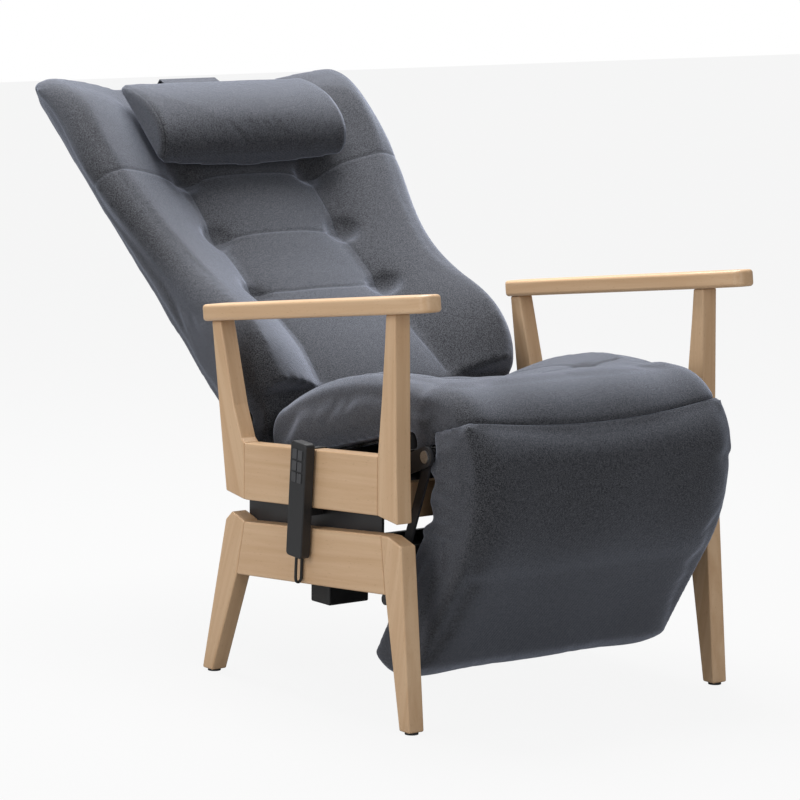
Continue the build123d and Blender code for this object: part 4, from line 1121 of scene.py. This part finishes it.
def dress_timber(finish: Beech) -> None:
    """Give each beech piece a grain that follows its length.

    Args:
        finish: The beech.
    """
    for run in Run:
        across = run is Run.CROSS_RAIL
        stem = run.name.lower()
        nodes = ("front_cross_rail",) if across else [f"{stem}_{side}" for side in PAIR]
        material = finish.material(run, across)
        for node in nodes:
            paint(node, material)


HARDWARE: dict[Coated, tuple[str, ...]] = {
    BLACK_STEEL: (
        "base_side_plates",
        "base_cross_tube_front",
        "base_cross_tube_rear",
        "rear_lift_link",
        "front_lift_link",
        "arm_side_plates",
        "seat_frame",
        "back_hinge_shaft",
        "leg_rest_frame",
    ),
    PLATED_STEEL: (
        "base_bolts",
        "base_pivot_pins",
        "arm_bolts",
        "arm_pivot_pins",
        "seat_hinge_pins",
        "seat_springs",
        "lift_rod",
        "back_rod",
        "leg_rest_rod",
    ),
    BLACK_PLASTIC: (
        "lift_actuator",
        "leg_rest_actuator",
        "back_actuator",
        "control_box",
        "power_inlet",
        "handset_front_shell",
        "handset_back_shell",
        "handset_hook",
        "cord_socket",
        "foot_glides",
    ),
    BUTTON_PLASTIC: tuple(f"handset_button_{n}" for n in range(1, 7)),
    PLYWOOD: ("back_board_frame",),
}


def dress_hardware(speckle: NodeTree) -> None:
    """Paint the steel, plastic and wood parts that keep their CAD solids.

    Args:
        speckle: The mottling group.
    """
    for finish, nodes in HARDWARE.items():
        material = finish.material(speckle)
        for node in nodes:
            paint(node, material)


@dataclass
class HandsetCord:
    """The cord that loops below the handset and goes up behind it, in mm."""

    diameter: float = 5.0 * MM
    route: tuple[Triple, ...] = (
        (-344.5, 290.3, 243.25),
        (-344.5, 291.38, 229.28),
        (-344.7, 292.0, 215.0),
        (-344.5, 292.6, 203.0),
        (-338.8, 292.9, 199.6),
        (-333.0, 293.2, 203.0),
        (-332.8, 292.9, 215.5),
        (-333.1, 291.7, 231.0),
        (-333.6, 289.4, 250.0),
        (-333.3, 288.4, 270.0),
        (-333.6, 286.5, 289.0),
        (-333.4, 285.3, 310.4),
        (-329.5, 285.2, 314.7),
        (-324.0, 285.2, 314.7),
    )

    def build(self, material: Material) -> None:
        """Args:
            material: The material of its sheath.
        """
        curve = bpy.data.curves.new("handset_cord_line", "CURVE")
        curve.dimensions = "3D"
        curve.bevel_depth = self.diameter / 2
        curve.bevel_resolution = 6
        curve.resolution_u = 8
        curve.use_fill_caps = True
        spline = curve.splines.new("NURBS")
        spline.points.add(len(self.route) - 1)
        for point, (x, y, z) in zip(spline.points, self.route):
            point.co = (x * MM, y * MM - SHIFT, z * MM, 1)
        spline.order_u = 3
        spline.use_endpoint_u = True
        curve.materials.append(material)
        cord = bpy.data.objects.new("handset_cord_sheath", curve)
        bpy.context.collection.objects.link(cord)
        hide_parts("handset_cord")
        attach(cord, "arm_frame")
        x, y, z = self.route[0]


@dataclass
class Studio:
    """Pale floor, soft light and the camera at the photograph's angle."""

    place: Triple = (-3.72024, -4.57820 - SHIFT, 1.37671)
    right: Triple = (0.80612824, -0.59169687, 0.00721635)
    up: Triple = (0.0808427, 0.12220454, 0.98920701)
    forward: Triple = (0.58619256, 0.79684432, -0.14634691)
    lens: float = 167.53
    aim: Triple = (0.0, 0.0, 0.5)

    def camera(self) -> None:
        """Make the camera."""
        data = bpy.data.cameras.new("Camera")
        data.lens = self.lens
        data.sensor_width = 36.0
        data.clip_end = 60.0
        camera = bpy.data.objects.new("Camera", data)
        bpy.context.collection.objects.link(camera)
        turn = Matrix((self.right, self.up, tuple(-c for c in self.forward))).transposed()
        camera.matrix_world = Matrix.Translation(self.place) @ turn.to_4x4()
        bpy.context.scene.camera = camera

    def floor(self) -> None:
        """Make the floor, which shows white to the camera and keeps the shadow."""
        shell = bmesh.new()
        bmesh.ops.create_grid(shell, x_segments=1, y_segments=1, size=14.0)
        mesh = bpy.data.meshes.new("floor")
        shell.to_mesh(mesh)
        shell.free()
        floor = bpy.data.objects.new("floor", mesh)
        floor.location.z = -0.5 * MM
        bpy.context.collection.objects.link(floor)
        material, tree, shader = blank_material("Pale floor")
        fill(tree, shader, Base_Color=(0.34, 0.34, 0.34, 1), Roughness=0.9)
        glow = add_node(tree, "Emission", Strength=1.0, Color=(1, 1, 1, 1))
        rays = add_node(tree, "LightPath")
        share = remap(tree, rays.outputs["Is Camera Ray"], (0.0, 1.0), (0.0, 0.90))
        both = add_node(tree, "MixShader", i0=share, i1=shader.outputs[0], i2=glow.outputs[0])
        output = next(n for n in tree.nodes if n.type == "OUTPUT_MATERIAL")
        fill(tree, output, Surface=both.outputs[0])
        mesh.materials.append(material)

    def world(self) -> None:
        """Light the room softly, with a white background for the camera."""
        world = bpy.data.worlds.new("Studio")
        world.use_nodes = True
        tree = world.node_tree
        tree.nodes.clear()
        output = add_node(tree, "OutputWorld")
        soft = add_node(tree, "Background", Strength=0.38, Color=(0.96, 0.98, 1.0, 1))
        white = add_node(tree, "Background", Strength=1.0, Color=(1, 1, 1, 1))
        rays = add_node(tree, "LightPath").outputs
        seen = combine(tree, "MAXIMUM", rays["Is Camera Ray"], rays["Is Transmission Ray"])
        both = add_node(tree, "MixShader", i0=seen, i1=soft.outputs[0], i2=white.outputs[0])
        fill(tree, output, Surface=both.outputs[0])
        bpy.context.scene.world = world

    def lamp(self, name: str, place: Triple, size: float, power: float) -> None:
        """Hang a square lamp that points at the chair.

        Args:
            name: The lamp's name.
            place: Where it hangs.
            size: Its side in metres.
            power: Its power in watts.
        """
        data = bpy.data.lights.new(name, "AREA")
        data.size = size
        data.energy = power
        lamp = bpy.data.objects.new(name, data)
        bpy.context.collection.objects.link(lamp)
        lamp.location = place
        towards = Vector(self.aim) - Vector(place)
        lamp.rotation_euler = towards.to_track_quat("-Z", "Y").to_euler()

    def build(self) -> None:
        """Set up the whole studio."""
        self.camera()
        self.floor()
        self.world()
        self.lamp("Overhead", (0.2, 0.9, 3.1), 2.0, 165.0)
        self.lamp("Left", (-3.4, 0.0, 1.6), 2.2, 46.0)
        self.lamp("Front", (-1.2, -4.2, 1.6), 1.8, 36.0)
        bpy.context.scene.view_settings.view_transform = "Standard"


@dataclass
class Armchair:
    """The whole chair."""

    cloth: Heather = field(default_factory=Heather)
    bend_start: float = 505.0 * MM
    bend_end: float = 235.0 * MM

    def build(self) -> None:
        """Dress and build every sub-assembly in turn."""
        speckle = speckle_group()
        fabric = self.cloth.material("Charcoal heather", speckle)
        dress_timber(Beech())
        dress_hardware(speckle)
        HandsetCord().build(CORD_SHEATH.material(speckle))
        back = BackUpholstery().build(fabric)
        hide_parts("back_cushion", "back_cover")
        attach(back, "back")
        leg_rest = LegRestPad().build(fabric)
        seat = SeatCushion().build(fabric)
        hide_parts("seat_cushion")
        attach(seat, "seat")
        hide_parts("leg_rest_pad")
        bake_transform(leg_rest)
        pillow = HeadPillow().build(fabric)
        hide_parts("head_pillow")
        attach(pillow, "head_pillow")
        plain = self.cloth.material("Charcoal webbing", speckle, sewn=False)
        for node in ("pillow_strap", "pillow_counterweight"):
            paint(node, plain)


def main() -> None:
    """Build the chair in its studio."""
    logging.basicConfig(level=logging.INFO, format="%(name)s: %(message)s")
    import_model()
    Studio().build()
    Armchair().build()


if __name__ == "__main__":
    main()
